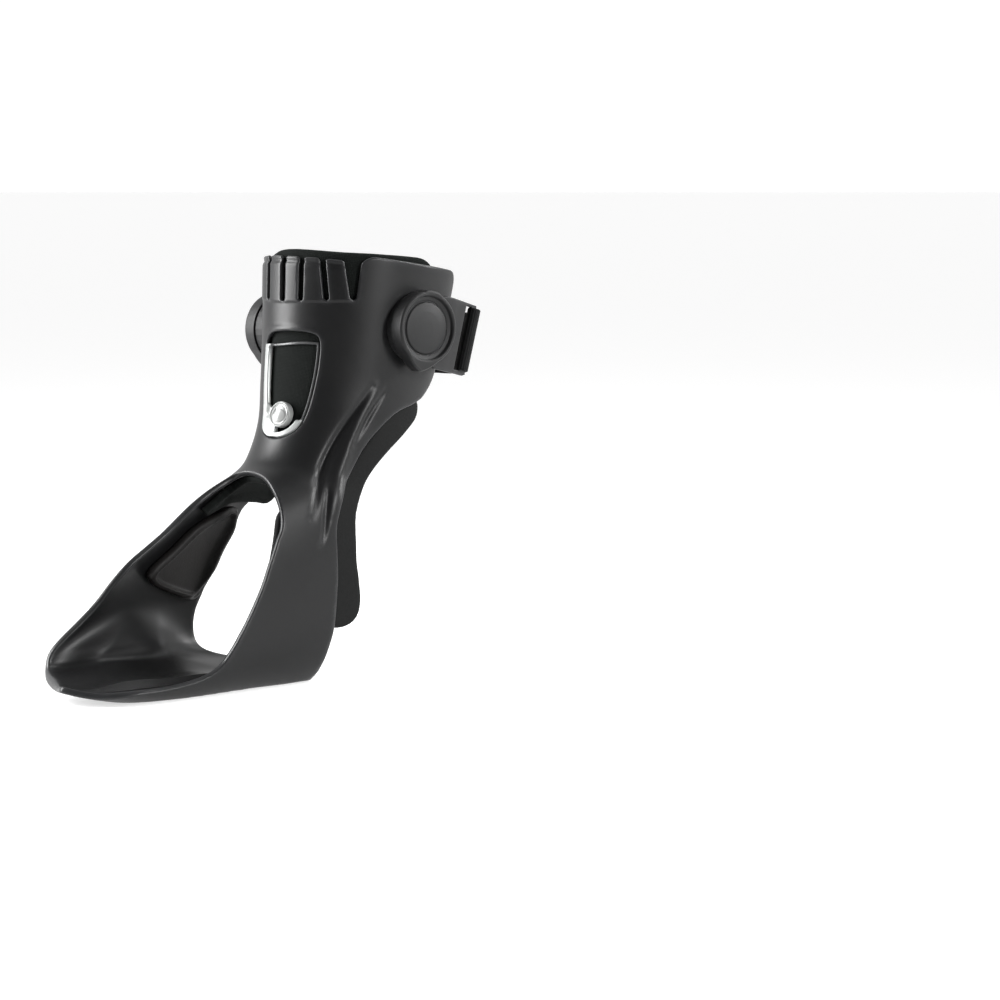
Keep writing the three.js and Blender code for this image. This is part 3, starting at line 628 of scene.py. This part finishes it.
def shell_skins(u, v):
    at, degrees = u / MM_PER_SHARE, v / MM_PER_DEGREE
    front = front_of(v)
    out = relief(u, front) + finger_relief(u, front)
    outer = at_least(off_surface(at, degrees, out), 0.0)
    inner = off_surface(at, degrees, -wall_at(at) - wall_lean(u, front, outer[..., 2]))
    side = inner[..., 1]
    scoop = SCOOP * ease((side / HALF + 0.45) / 0.9)
    near_rise = NEAR_SOLE_RISE * ease((-20 - side) / 16)
    floor = SOLE + scoop + near_rise
    return outer, blended_up(inner, floor)


def build_shell():
    us = spaced((-2, 8, 0.8), (8, 20, 1.3), (20, 30, 0.6), (30, 60, 1.2), (60, 175, 1.0), (175, 330, 1.5))
    ribs, fine, half_turn = (degrees * MM_PER_DEGREE for degrees in (84, 50, 180))
    vs = spaced((-half_turn, -ribs, 1.4), (-ribs, fine, 0.75), (fine, half_turn, 1.4))[:-1]
    shell = sheet_piece(
        "moulded_shell", us, vs, shell_inside, shell_skins, 0.9, period=2 * half_turn, floor=0.0
    )
    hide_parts("shell")
    return shell


# Soft pieces on the shell's inner face
def soft_skins(thickness):
    def skins(u, v):
        at, degrees = u / MM_PER_SHARE, v / MM_PER_DEGREE
        out = -wall_at(at) - SOFT_GAP
        return off_surface(at, degrees, out), off_surface(at, degrees, out - thickness(u, v))

    return skins


def soft_piece(name, loop, us, vs, thickness, rim, node):
    piece = sheet_piece(
        name, us, vs, lambda u, v: inside_loop(loop, u, v), soft_skins(thickness), rim, rounds=8, floor=0.0
    )
    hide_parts(node)
    return piece


def build_soft():
    def liner_thickness(u, v):
        depth = inside_loop(LOOPS["liner"], u, v)
        binding = BINDING * np.exp(-(((depth - 2.6) / 2.0) ** 2))
        stitch = STITCH * np.exp(-(((depth - 6.2) / 0.7) ** 2))
        return LINER + binding - stitch

    def near_thickness(u, v):
        depth = inside_loop(LOOPS["near_pad"], u, v)
        stitch = PAD_STITCH * np.exp(-(((depth - 5.0) / 0.8) ** 2))
        return PAD * (0.8 + 0.2 * ease(depth / 10)) - stitch

    def far_thickness(u, v):
        depth = inside_loop(LOOPS["far_pad"], u, v)
        front = ease(((u - 165) * 0.55 - (v - 36.8) * 0.835 - 3) / 3)
        return PAD * (0.42 + FAR_BEAD * front * np.exp(-(((depth - 2.8) / 1.7) ** 2)))

    per = MM_PER_DEGREE
    liner = soft_piece(
        "calf_liner_padding", LOOPS["liner"], spaced((-6, 196, 1.6)), spaced((-130 * per, 130 * per, 1.6)),
        liner_thickness, 2.0, "calf_liner",
    )
    near = soft_piece(
        "near_ankle_cushion", LOOPS["near_pad"], spaced((64, 222, 1.5)), spaced((-144 * per, -22 * per, 1.4)),
        near_thickness, 2.4, "near_ankle_pad",
    )
    far = soft_piece(
        "far_ankle_cushion", LOOPS["far_pad"], spaced((160, 236, 0.9)), spaced((22 * per, 84 * per, 0.8)),
        far_thickness, 2.0, "far_ankle_pad",
    )
    return liner, near, far


# Window frame and valve
FRAME_TOP = 0.15 * MM_PER_SHARE


def silver_inside(u, v):
    """The broad parts: the side strip, widening to fill the corner by the valve, and the arc at the foot."""
    depth = inside_loop(LOOPS["window"], u, v) - GAP
    side = np.minimum(SILVER_STRIP + SILVER_CORNER * ease((u - 85) / 15) - depth, v + 4.0)
    arc = np.minimum(SILVER_ARC - depth, u - 95)
    return np.minimum(depth, np.maximum(side, arc))


def frame_inside(u, v):
    depth = inside_loop(LOOPS["window"], u, v) - GAP
    degrees = v / MM_PER_DEGREE
    bars = np.maximum(silver_inside(u, v), np.minimum(depth, THIN_LINE - depth))
    top = u - FRAME_TOP + 3.2 * ease((8 - degrees) / 38)
    band = np.minimum(np.minimum(depth, top), np.maximum(bars, TOP_LINE - top))
    valve_u = VALVE["at"] * MM_PER_SHARE
    valve_v = VALVE["degrees"] * MM_PER_DEGREE
    clear = np.hypot(u - valve_u, v - valve_v) - VALVE_RADIUS - GAP
    return np.minimum(band, clear)


def build_window():
    def skins(u, v):
        at, degrees = u / MM_PER_SHARE, v / MM_PER_DEGREE
        rise = 0.7 - 2.1 * ease((9 - degrees) / 5) * ease((97 - u) / 6)
        return off_surface(at, degrees, rise), off_surface(at, degrees, -CUFF_WALL + 0 * u)

    per = MM_PER_DEGREE
    us, vs = spaced((46, 108, 0.36)), spaced((-33 * per, 16 * per, 0.32))
    piece = sheet_piece(
        "window_trim", us, vs, frame_inside, skins, 0.34,
        # The mask is one on the broad silver parts and nought on the thin lines, which are painted darker as
        # painted shade.
        mask=lambda u, v: ease(silver_inside(u, v) / 0.3 + 1.5),
    )
    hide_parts("window_frame")
    return piece


def on_shell(x, y, h):
    """A point on the valve's own axes: x down the window, y round it, h out."""
    at, degrees = np.array(VALVE["at"]), np.array(VALVE["degrees"])
    z = normal_at(at, degrees)
    x_axis = unit(np.cross([0, 1, 0], z))
    y_axis = np.cross(z, x_axis)
    return surface(at, degrees) + x[:, None] * x_axis + y[:, None] * y_axis + h[:, None] * z


def build_valve():
    seat = -CUFF_WALL - SOFT_GAP + 2 * GAP
    r = VALVE_RADIUS
    body = [[0, seat], [r, seat], [r, 1.4], [r - 0.9, 2.0], [r - 1.4, 1.5], [0, 1.5]]
    dome = [[(r - 1.7) * t, 2.1 + 1.2 * (1 - t**2)] for t in np.linspace(0, 1, 24)[:-1]]
    cap = [*dome, [r - 1.6, 2.02], [r - 1.6, 1.5 + GAP], [0, 1.5 + GAP]]

    def mark(x, y, h):
        """A small three-sided dent near the cap's edge, and a shallow step round its middle."""
        a, b = x - 0.6, y - 3.1
        depth = np.minimum(a + 1.5, 1.3 - 0.5 * a - 0.87 * np.abs(b))
        swirl = 0.45 * ease((np.hypot(x + 0.8, y + 1.4) - 3.2) / 0.5)
        return x, y, h - np.where(h > 2.05, 1.1 * ease(depth / 0.4) + swirl, 0)

    pieces = [
        turned_piece("valve_ring", rounded(body, 0.5), on_shell),
        turned_piece("valve_button", rounded(cap, 0.2, 2), on_shell, 128, mark),
    ]
    for piece, node in zip(pieces, ("valve_body", "valve_cap")):
        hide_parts(node)
    return pieces


# Knobs over the strap pivots
PLATE_FROM = BASE_TOP + GAP
PLATE_TO = PLATE_FROM + PLATE
CAP_FROM = PLATE_TO + GAP
NOSE = 26.0


def build_knob(name, pivot, side, node):
    r = PIVOT_RADIUS
    profile = [
        [0, CAP_FROM + 0.3], [r - 2.6, CAP_FROM + 0.3], [r - 2.4, CAP_FROM], [r, CAP_FROM],
        [r, CAP_FROM + 1.2], [r + 0.1, PIVOT_HEIGHT - 1.0],
        [r - 0.8, PIVOT_HEIGHT], [r - 1.8, PIVOT_HEIGHT], [r - 2.5, PIVOT_HEIGHT - 0.6],
        [r - 2.9, PIVOT_HEIGHT - 2.4], [r - 4.9, PIVOT_HEIGHT - 2.7], [r - 5.4, PIVOT_HEIGHT - 3.2],
        [r - 5.9, PIVOT_HEIGHT - 3.2], [r - 6.4, PIVOT_HEIGHT - 2.3], [r - 12, PIVOT_HEIGHT - 1.6],
        [r - 17, PIVOT_HEIGHT - 1.3], [0, PIVOT_HEIGHT - 1.2],
    ]

    def nose(x, y, h):
        """The wall draws out into a nose below and a lip above, and reaches the shell but for behind."""
        radius = np.hypot(x, y)
        behind = np.abs(np.degrees(np.arctan2(y, x)))
        skirt = (CAP_FROM - BASE_TOP - GAP) * ease((behind - 66) / 3)
        skirt = skirt * ease((radius - (r - 2.55)) / 0.1) * (1 - ease((h - CAP_FROM - 0.5) / 0.4))
        h = h - skirt
        angle = np.degrees(np.arctan2(x, -y))
        outer = ease((radius - (r - 2.6)) / 1.2)
        low = np.clip(1 - np.abs(angle) / 33, 0, 1)
        point = (NOSE - r) * low**1.15 * outer
        high = ease((18 - np.abs(np.abs(angle) - 180)) / 5) * outer
        point = point + 0.7 * high
        scale = 1 + point / np.maximum(radius, 1)
        sink = 1.4 * low * outer * ease((h - CAP_FROM - 1) / 3)
        return x * scale, y * scale, h - sink

    def place(x, y, h):
        return on_cuff(pivot["back"] + x, h, y, side)

    piece = turned_piece(name, rounded(profile, 0.45, 3), place, 144, nose)
    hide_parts(node)
    return piece


# Buckle plates
PLATE_HALF = STRAP_WIDTH / 2 + 3
EYE = 13.0
BEND_FROM = PIVOT_RADIUS + 1
BEND_SOFT = 2.0
SLOT_SEEN = 5.0
SLANT = 0.07


def bent_out(x):
    slope = math.tan(math.radians(BUCKLE_BEND))
    over = x - BEND_FROM
    eased = (over + BEND_SOFT) ** 2 / (4 * BEND_SOFT)
    soft = np.where(over < -BEND_SOFT, 0, np.where(over > BEND_SOFT, over, eased))
    return (PLATE_FROM + PLATE_TO) / 2 - soft * slope


def build_buckle(name, pivot, side, node):
    end = pivot["end"]
    h = PLATE_HALF
    tip = end + 2.6
    plate = np.array([
        [0, -EYE], [12, -h + 1.5], [15, -h], [end - 2, -h], [tip - 1, -h + 1.6],
        [tip, h - 2], [tip - 1, h - 1], [16, h], [12, h - 1.5], [0, EYE],
    ], float)
    middle = end - BAR - SLOT_SEEN / 2
    reach = STRAP_WIDTH / 2 + GAP

    def inside(u, v):
        eye = EYE - np.hypot(u, v)
        hole = np.hypot(u, v) - HUB - GAP
        along_slot = u - SLANT * v
        slot = np.maximum(np.abs(along_slot - middle) - SLOT_SEEN / 2, np.abs(v) - reach)
        notch = np.maximum(end - along_slot, np.abs(v) - reach)
        body = np.maximum(eye, inside_loop(plate, u, v))
        return np.minimum(np.minimum(body, hole), np.minimum(slot, notch))

    def skins(u, v):
        out = bent_out(u)
        back = pivot["back"] + u
        return on_cuff(back, out + PLATE / 2, v, side), on_cuff(back, out - PLATE / 2, v, side)

    piece = sheet_piece(
        name, spaced((-15, end + 4, 0.6)), spaced((-h - 2, h + 2, 0.6)), inside, skins, 0.5, square=0.7
    )
    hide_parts(node)
    return piece


# The strap: webbing folded round both bars, doubled and sewn behind each
def bar_at(pivot):
    x = pivot["end"] - BAR / 2
    return np.array([pivot["back"] + x, -SEAT - float(bent_out(np.array(x)))])


def strap_line():
    """The middle of the strap as its solid has it, in the plane square to the leg."""
    near, far = bar_at(NEAR_PIVOT), bar_at(FAR_PIVOT)
    rows = [
        [0, near[0] + 1, near[1]],
        [0.12, mix(near[0], BEHIND, 0.42), near[1] * 0.86],
        [0.3, mix(near[0], BEHIND, 0.86), near[1] * 0.5],
        [0.5, BEHIND, 0],
        [0.7, mix(far[0], BEHIND, 0.88), -far[1] * 0.52],
        [0.86, mix(far[0], BEHIND, 0.48), -far[1] * 0.88],
        [1, far[0] + 1, -far[1]],
    ]
    return along(rows, np.linspace(0, 1, 241))[:, 1:]


WEB = 1.9
TAIL = 24.0
FOLD_OUT = 2.75
FOLD_BACK = 4.2
SEWN_OUT = 0.98


def strap_route():
    """The webbing's middle line: in behind the near bar, round it and the leg, and back at the far bar."""
    line = strap_line()
    steps = np.gradient(line, axis=0)
    normal = unit(np.stack([steps[:, 1], -steps[:, 0]], 1))
    length = np.concatenate([[0], np.cumsum(np.linalg.norm(np.diff(line, axis=0), axis=1))])
    from_end = np.minimum(length, length[-1] - length)
    apart = mix(FOLD_OUT, SEWN_OUT, ease((from_end - 2) / 8))
    single = apart * (1 - 0.6 * ease((from_end - TAIL) / 12))
    outer = line + normal * single[:, None]
    inner = line - normal * apart[:, None]

    def cap(centre, out, back):
        return [
            centre + out * FOLD_OUT * math.cos(a) - back * FOLD_BACK * math.sin(a)
            for a in np.linspace(0, math.pi, 13)[1:-1]
        ]

    near_tail = [p for p, s in zip(inner, length) if s <= TAIL][::-1]
    far_tail = [p for p, s in zip(inner, length[-1] - length) if s <= TAIL][::-1]
    near_cap = cap(line[0], normal[0], unit(line[4] - line[0]))[::-1]
    far_cap = cap(line[-1], normal[-1], unit(line[-5] - line[-1]))
    route = np.array([*near_tail, *near_cap, *outer, *far_cap, *far_tail])
    keep = [0]
    for k in range(1, len(route)):
        if np.linalg.norm(route[k] - route[keep[-1]]) > 0.5:
            keep.append(k)
    return route[keep]


def build_strap():
    route = strap_route()
    length = np.concatenate([[0], np.cumsum(np.linalg.norm(np.diff(route, axis=0), axis=1))])
    far_y = -bar_at(FAR_PIVOT)[1] - STRAP

    def skins(u, v):
        x, y = (np.interp(u, length, route[:, k]) for k in (0, 1))
        ahead, behind = (
            [np.interp(u + step, length, route[:, k]) for k in (0, 1)]
            for step in (0.8, -0.8)
        )
        along_route = unit(np.stack([ahead[0] - behind[0], ahead[1] - behind[1]], 1))
        out = np.stack([along_route[:, 1], -along_route[:, 0]], 1) * WEB / 2
        up = v - FAR_PIVOT_DROP * ease(y / far_y)
        made = []
        lean = SLANT * v * (ease(-y / far_y) + ease(y / far_y))
        for sign in (1, -1):
            px, py = x + lean + sign * out[:, 0], y + sign * out[:, 1]
            across = np.array([0, 1, 0]) * py[:, None]
            made.append(CUFF_CENTRE + LEG_BACK * px[:, None] + LEG_UP * up[:, None] + across)
        return made[0], made[1]

    def inside(u, v):
        return np.minimum(np.minimum(u, length[-1] - u), STRAP_WIDTH / 2 - np.abs(v))

    piece = sheet_piece(
        "calf_strap_webbing", spaced((-1, length[-1] + 1, 1.2)), spaced((-20, 20, 1.25)), inside, skins, 0.6,
        square=0.7,
    )
    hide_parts("calf_strap")
    return piece


# Materials
class Paint:
    """Builds one procedural material, a node at a time."""

    def __init__(self, name, **sockets):
        self.material = bpy.data.materials.new(name)
        self.material.use_nodes = True
        self.tree = self.material.node_tree
        self.shader = self.tree.nodes["Principled BSDF"]
        for key, value in sockets.items():
            self.shader.inputs[key.replace("_", " ")].default_value = value

    def node(self, kind, settings=None, **inputs):
        made = self.tree.nodes.new(kind)
        for key, value in (settings or {}).items():
            setattr(made, key, value)
        for key, value in inputs.items():
            self.put(made.inputs[key.replace("_", " ")], value)
        return made

    def put(self, socket, value):
        if isinstance(value, bpy.types.NodeSocket):
            self.tree.links.new(value, socket)
        else:
            socket.default_value = value

    def coordinates(self, kind="Object"):
        return self.node("ShaderNodeTexCoord").outputs[kind]

    def noise(self, vector, scale, detail=3.0, roughness=0.5):
        made = self.node("ShaderNodeTexNoise", Vector=vector, Scale=scale, Detail=detail, Roughness=roughness)
        return made.outputs["Fac"]

    def ramp(self, factor, low, high, start=0.0, end=1.0):
        made = self.node("ShaderNodeMapRange", Value=factor)
        for key, value in (("From Min", start), ("From Max", end), ("To Min", low), ("To Max", high)):
            made.inputs[key].default_value = value
        return made.outputs["Result"]

    def maths(self, operation, a, b=0.0):
        made = self.node("ShaderNodeMath", {"operation": operation})
        self.put(made.inputs[0], a)
        self.put(made.inputs[1], b)
        return made.outputs[0]

    def colour(self, factor, a, b):
        made = self.node("ShaderNodeMix", {"data_type": "RGBA"})
        self.put(made.inputs["Factor"], factor)
        colours = [s for s in made.inputs if s.type == "RGBA"]
        for socket, value in zip(colours, (a, b)):
            self.put(socket, value if isinstance(value, bpy.types.NodeSocket) else (*value, 1))
        return [s for s in made.outputs if s.type == "RGBA"][0]

    def bump(self, height, strength, distance):
        made = self.node("ShaderNodeBump", Height=height, Strength=strength, Distance=distance)
        self.put(self.shader.inputs["Normal"], made.outputs["Normal"])

    def link(self, key, value):
        self.put(self.shader.inputs[key], value)

    def on(self, *objects):
        for obj in objects:
            obj.data.materials.clear()
            obj.data.materials.append(self.material)
        return self


def plastic(name, dark, light, rough, grain):
    """Satin moulded plastic: fine grain, faint flow marks, edges painted a little brighter, partly as a
    painted rim highlight and partly as rubbing wear, and rubbed smoother.
    """
    paint = Paint(name, Specular_IOR_Level=0.24)
    place = paint.coordinates()
    flow = paint.noise(place, 14.0, 4.0, 0.6)
    fine = paint.noise(place, grain, 2.0, 0.5)
    edge = paint.node("ShaderNodeAttribute", {"attribute_name": "edge"}).outputs["Fac"]
    # The edge attribute paints the edges lighter: partly a painted rim highlight, partly rubbing wear.
    rim_highlight_and_wear = paint.maths("MULTIPLY", edge, paint.ramp(flow, 0.3, 1.0, 0.35, 0.65))
    base = paint.colour(flow, dark, light)
    paint.link("Base Color", paint.colour(paint.maths("MULTIPLY", rim_highlight_and_wear, 0.5), base, (0.05, 0.051, 0.053)))
    smear = paint.ramp(paint.noise(place, 38.0, 5.0, 0.65), rough - 0.05, rough + 0.06)
    paint.link("Roughness", paint.maths("SUBTRACT", smear, paint.maths("MULTIPLY", rim_highlight_and_wear, 0.08)))
    paint.bump(fine, 0.18, 0.0002)
    return paint


def cloth(name, dark, light, thread, rough=0.9, depth=0.0003, twill=True):
    """Woven cloth whose threads follow the piece's own unrolled lengths."""
    paint = Paint(name, Specular_IOR_Level=0.12)
    uv = paint.coordinates("UV")
    waves = []
    for direction in ("X", "Y"):
        wave = paint.node(
            "ShaderNodeTexWave", {"wave_type": "BANDS", "bands_direction": direction},
            Vector=uv, Scale=thread, Distortion=0.6, Detail=1.0,
        )
        waves.append(wave.outputs["Fac"])
    weave = paint.maths("MULTIPLY", waves[0], waves[1]) if twill else waves[0]
    fuzz = paint.noise(paint.coordinates(), 700.0, 3.0, 0.6)
    patch = paint.noise(paint.coordinates(), 22.0, 3.0, 0.5)
    height = paint.maths("ADD", weave, paint.maths("MULTIPLY", fuzz, 0.6))
    threads = paint.ramp(height, 0.1, 1.0, 0.1, 1.2)
    shade = paint.maths("MULTIPLY", threads, paint.ramp(patch, 0.6, 1.0, 0.3, 0.7))
    paint.link("Base Color", paint.colour(shade, dark, light))
    paint.link("Roughness", paint.ramp(fuzz, rough - 0.06, rough + 0.06))
    paint.bump(height, 0.6, depth)
    return paint


def foam(name, dark, light, rough, gloss):
    """Closed foam with a fine skin."""
    paint = Paint(name, Specular_IOR_Level=gloss)
    place = paint.coordinates()
    pores = paint.node("ShaderNodeTexVoronoi", Vector=place, Scale=900.0).outputs["Distance"]
    patch = paint.noise(place, 30.0, 4.0, 0.6)
    paint.link("Base Color", paint.colour(patch, dark, light))
    paint.link("Roughness", paint.ramp(patch, rough - 0.06, rough + 0.06))
    paint.bump(paint.maths("ADD", pores, paint.noise(place, 160.0)), 0.35, 0.0002)
    return paint


def coated(name, dark, light, rough, metal, painted_shade_grey=None):
    """Silver-coated plastic with faint brushing and handling marks, painted a darker grey as painted shade
    where its mask is nought.
    """
    paint = Paint(name, Metallic=metal)
    place = paint.coordinates()
    drawn = paint.node("ShaderNodeMapping", Vector=place, Scale=(1, 1, 9)).outputs[0]
    brushed = paint.noise(drawn, 120.0, 3.0)
    marks = paint.noise(place, 60.0, 5.0, 0.7)
    silver = paint.colour(marks, dark, light)
    # Where the mask is nought the silver is painted a darker grey: painted shade on the thin lines of the
    # frame.
    if painted_shade_grey:
        mask = paint.node("ShaderNodeAttribute", {"attribute_name": "edge"}).outputs["Fac"]
        silver = paint.colour(mask, painted_shade_grey, silver)
    paint.link("Base Color", silver)
    paint.link("Roughness", paint.ramp(marks, rough - 0.06, rough + 0.08))
    paint.bump(brushed, 0.08, 0.0001)
    return paint


# Build and paint
shell = build_shell()
liner, near_pad, far_pad = build_soft()
trim = build_window()
valve = build_valve()
near_knob = build_knob("near_knob", NEAR_PIVOT, -1, "near_pivot_cap")
far_knob = build_knob("far_knob", FAR_PIVOT, 1, "far_pivot_cap")
near_plate = build_buckle("near_buckle_plate", NEAR_PIVOT, -1, "near_buckle")
far_plate = build_buckle("far_buckle_plate", FAR_PIVOT, 1, "far_buckle")
strap = build_strap()

hardware = (near_knob, far_knob, near_plate, far_plate)
pivot_bases = [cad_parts[side + "_pivot_base"] for side in ("near", "far")]

plastic("satin_moulding", (0.0045, 0.0046, 0.0049), (0.0075, 0.0076, 0.008), 0.37, 1500.0).on(shell)
knob_paint = plastic("knob_moulding", (0.008, 0.0081, 0.0085), (0.012, 0.0121, 0.0126), 0.48, 1900.0)
knob_paint.on(*hardware, *pivot_bases)
cloth("liner_cloth", (0.0017, 0.0022, 0.002), (0.0095, 0.0116, 0.0105), 380.0).on(liner)
foam("pad_skin", (0.0038, 0.004, 0.004), (0.0072, 0.0074, 0.0073), 0.8, 0.14).on(near_pad)
foam("moulded_pad_skin", (0.0048, 0.0042, 0.004), (0.0082, 0.0072, 0.0068), 0.55, 0.25).on(far_pad)
# The thin lines of the window trim are painted a darker grey as painted shade.
silver = coated(
    "silver_trim", (0.25, 0.26, 0.255), (0.34, 0.35, 0.345), 0.34, 0.3, painted_shade_grey=(0.045, 0.046, 0.047)
)
silver.on(trim)
coated("pearl_valve", (0.23, 0.235, 0.23), (0.29, 0.295, 0.29), 0.24, 0.15).on(*valve)
cloth("strap_cloth", (0.0015, 0.0015, 0.0016), (0.006, 0.006, 0.0063), 260.0, 0.85, 0.0004, False).on(strap)

for piece in (shell, liner, near_pad, far_pad, trim, *valve, *hardware, strap):
    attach(piece, "root")

# Camera, floor and light
AZIMUTH, ELEVATION = math.radians(-42), math.radians(6)
BACK = np.array([
    math.sin(AZIMUTH) * math.cos(ELEVATION),
    -math.cos(AZIMUTH) * math.cos(ELEVATION),
    math.sin(ELEVATION),
])
RIGHT = np.array([math.cos(AZIMUTH), math.sin(AZIMUTH), 0])
UP = np.cross(BACK, RIGHT)
DISTANCE = 1800.0
FOCAL_PIXELS = 3103.0
PICTURE_PIXELS = 1000
AIM_ACROSS = 104.4
AIM_UP = 106.7
AIM = np.array([0, -HALF, 0]) + RIGHT * AIM_ACROSS + UP * AIM_UP + SHIFT
LIT_HEIGHT = 130.0
FLOOR_BELOW = 0.4
FLOOR_BEFORE = 1.0
FLOOR_REACH = 60.0


def look(obj, spot, target):
    obj.location = Vector(spot / 1000)
    obj.rotation_euler = Vector((target - spot) / 1000).to_track_quat("-Z", "Y").to_euler()


def add_camera():
    camera = bpy.data.objects.new("camera", bpy.data.cameras.new("camera"))
    bpy.context.scene.collection.objects.link(camera)
    camera.data.lens = camera.data.sensor_width * FOCAL_PIXELS / PICTURE_PIXELS
    camera.data.clip_end = 50
    look(camera, AIM + BACK * DISTANCE, AIM)
    bpy.context.scene.camera = camera


def add_light(name, towards, metres, size, watts):
    """A soft panel in a direction from the object's middle, facing it."""
    data = bpy.data.lights.new(name, "AREA")
    data.shape = "RECTANGLE"
    data.size, data.size_y = size
    data.energy = watts
    light = bpy.data.objects.new(name, data)
    bpy.context.scene.collection.objects.link(light)
    middle = np.array([0, 0, LIT_HEIGHT])
    look(light, middle + unit(np.array(towards, float)) * metres * 1000, middle)


def add_floor():
    """A pale sweep that ends a little way before the object and goes far back behind it."""
    mesh = bpy.data.meshes.new("floor")
    back, across = -BACK[:2] / np.linalg.norm(BACK[:2]), RIGHT[:2]
    ends = ((-FLOOR_BEFORE, -1), (-FLOOR_BEFORE, 1), (FLOOR_REACH, 1), (FLOOR_REACH, -1))
    corners = [back * depth + across * side * FLOOR_REACH for depth, side in ends]
    mesh.from_pydata([(*corner, 0) for corner in corners], [], [(0, 1, 2, 3)])
    floor = bpy.data.objects.new("floor", mesh)
    bpy.context.scene.collection.objects.link(floor)
    floor.location.z = -FLOOR_BELOW / 1000
    paint = Paint("pale_floor", Emission_Color=(1, 1, 1, 1), Emission_Strength=0.6)
    patch = paint.noise(paint.coordinates(), 3.0)
    paint.link("Base Color", paint.colour(patch, (0.5, 0.5, 0.5), (0.52, 0.52, 0.52)))
    paint.link("Roughness", paint.ramp(patch, 0.75, 0.85))
    paint.on(floor)


def add_world():
    world = bpy.data.worlds.new("studio")
    world.use_nodes = True
    nodes, links = world.node_tree.nodes, world.node_tree.links
    background = nodes["Background"]
    background.inputs["Color"].default_value = (1, 1, 1, 1)
    direction = nodes.new("ShaderNodeTexCoord")
    toward = nodes.new("ShaderNodeVectorMath")
    toward.operation = "DOT_PRODUCT"
    toward.inputs[1].default_value = (0.67, 0.74, 0.0)
    spread = nodes.new("ShaderNodeMapRange")
    spread.interpolation_type = "SMOOTHSTEP"
    for key, value in (("From Min", -0.6), ("From Max", 0.7), ("To Min", 0.14), ("To Max", 1.05)):
        spread.inputs[key].default_value = value
    links.new(direction.outputs["Generated"], toward.inputs[0])
    links.new(toward.outputs["Value"], spread.inputs["Value"])
    links.new(spread.outputs["Result"], background.inputs["Strength"])
    bpy.context.scene.world = world


add_camera()
add_floor()
add_world()
add_light("left", (-0.7, 0.62, 0.36), 1.3, (0.6, 1.1), 46)
add_light("rib", (0.14, -0.94, 0.3), 1.7, (0.14, 0.6), 20)
add_light("toe", (0.8, -0.55, 0.3), 1.6, (0.3, 0.3), 14)
add_light("top_right", (0.67, -0.31, 0.75), 1.4, (0.5, 0.5), 10)
bpy.context.scene.view_settings.view_transform = "Standard"
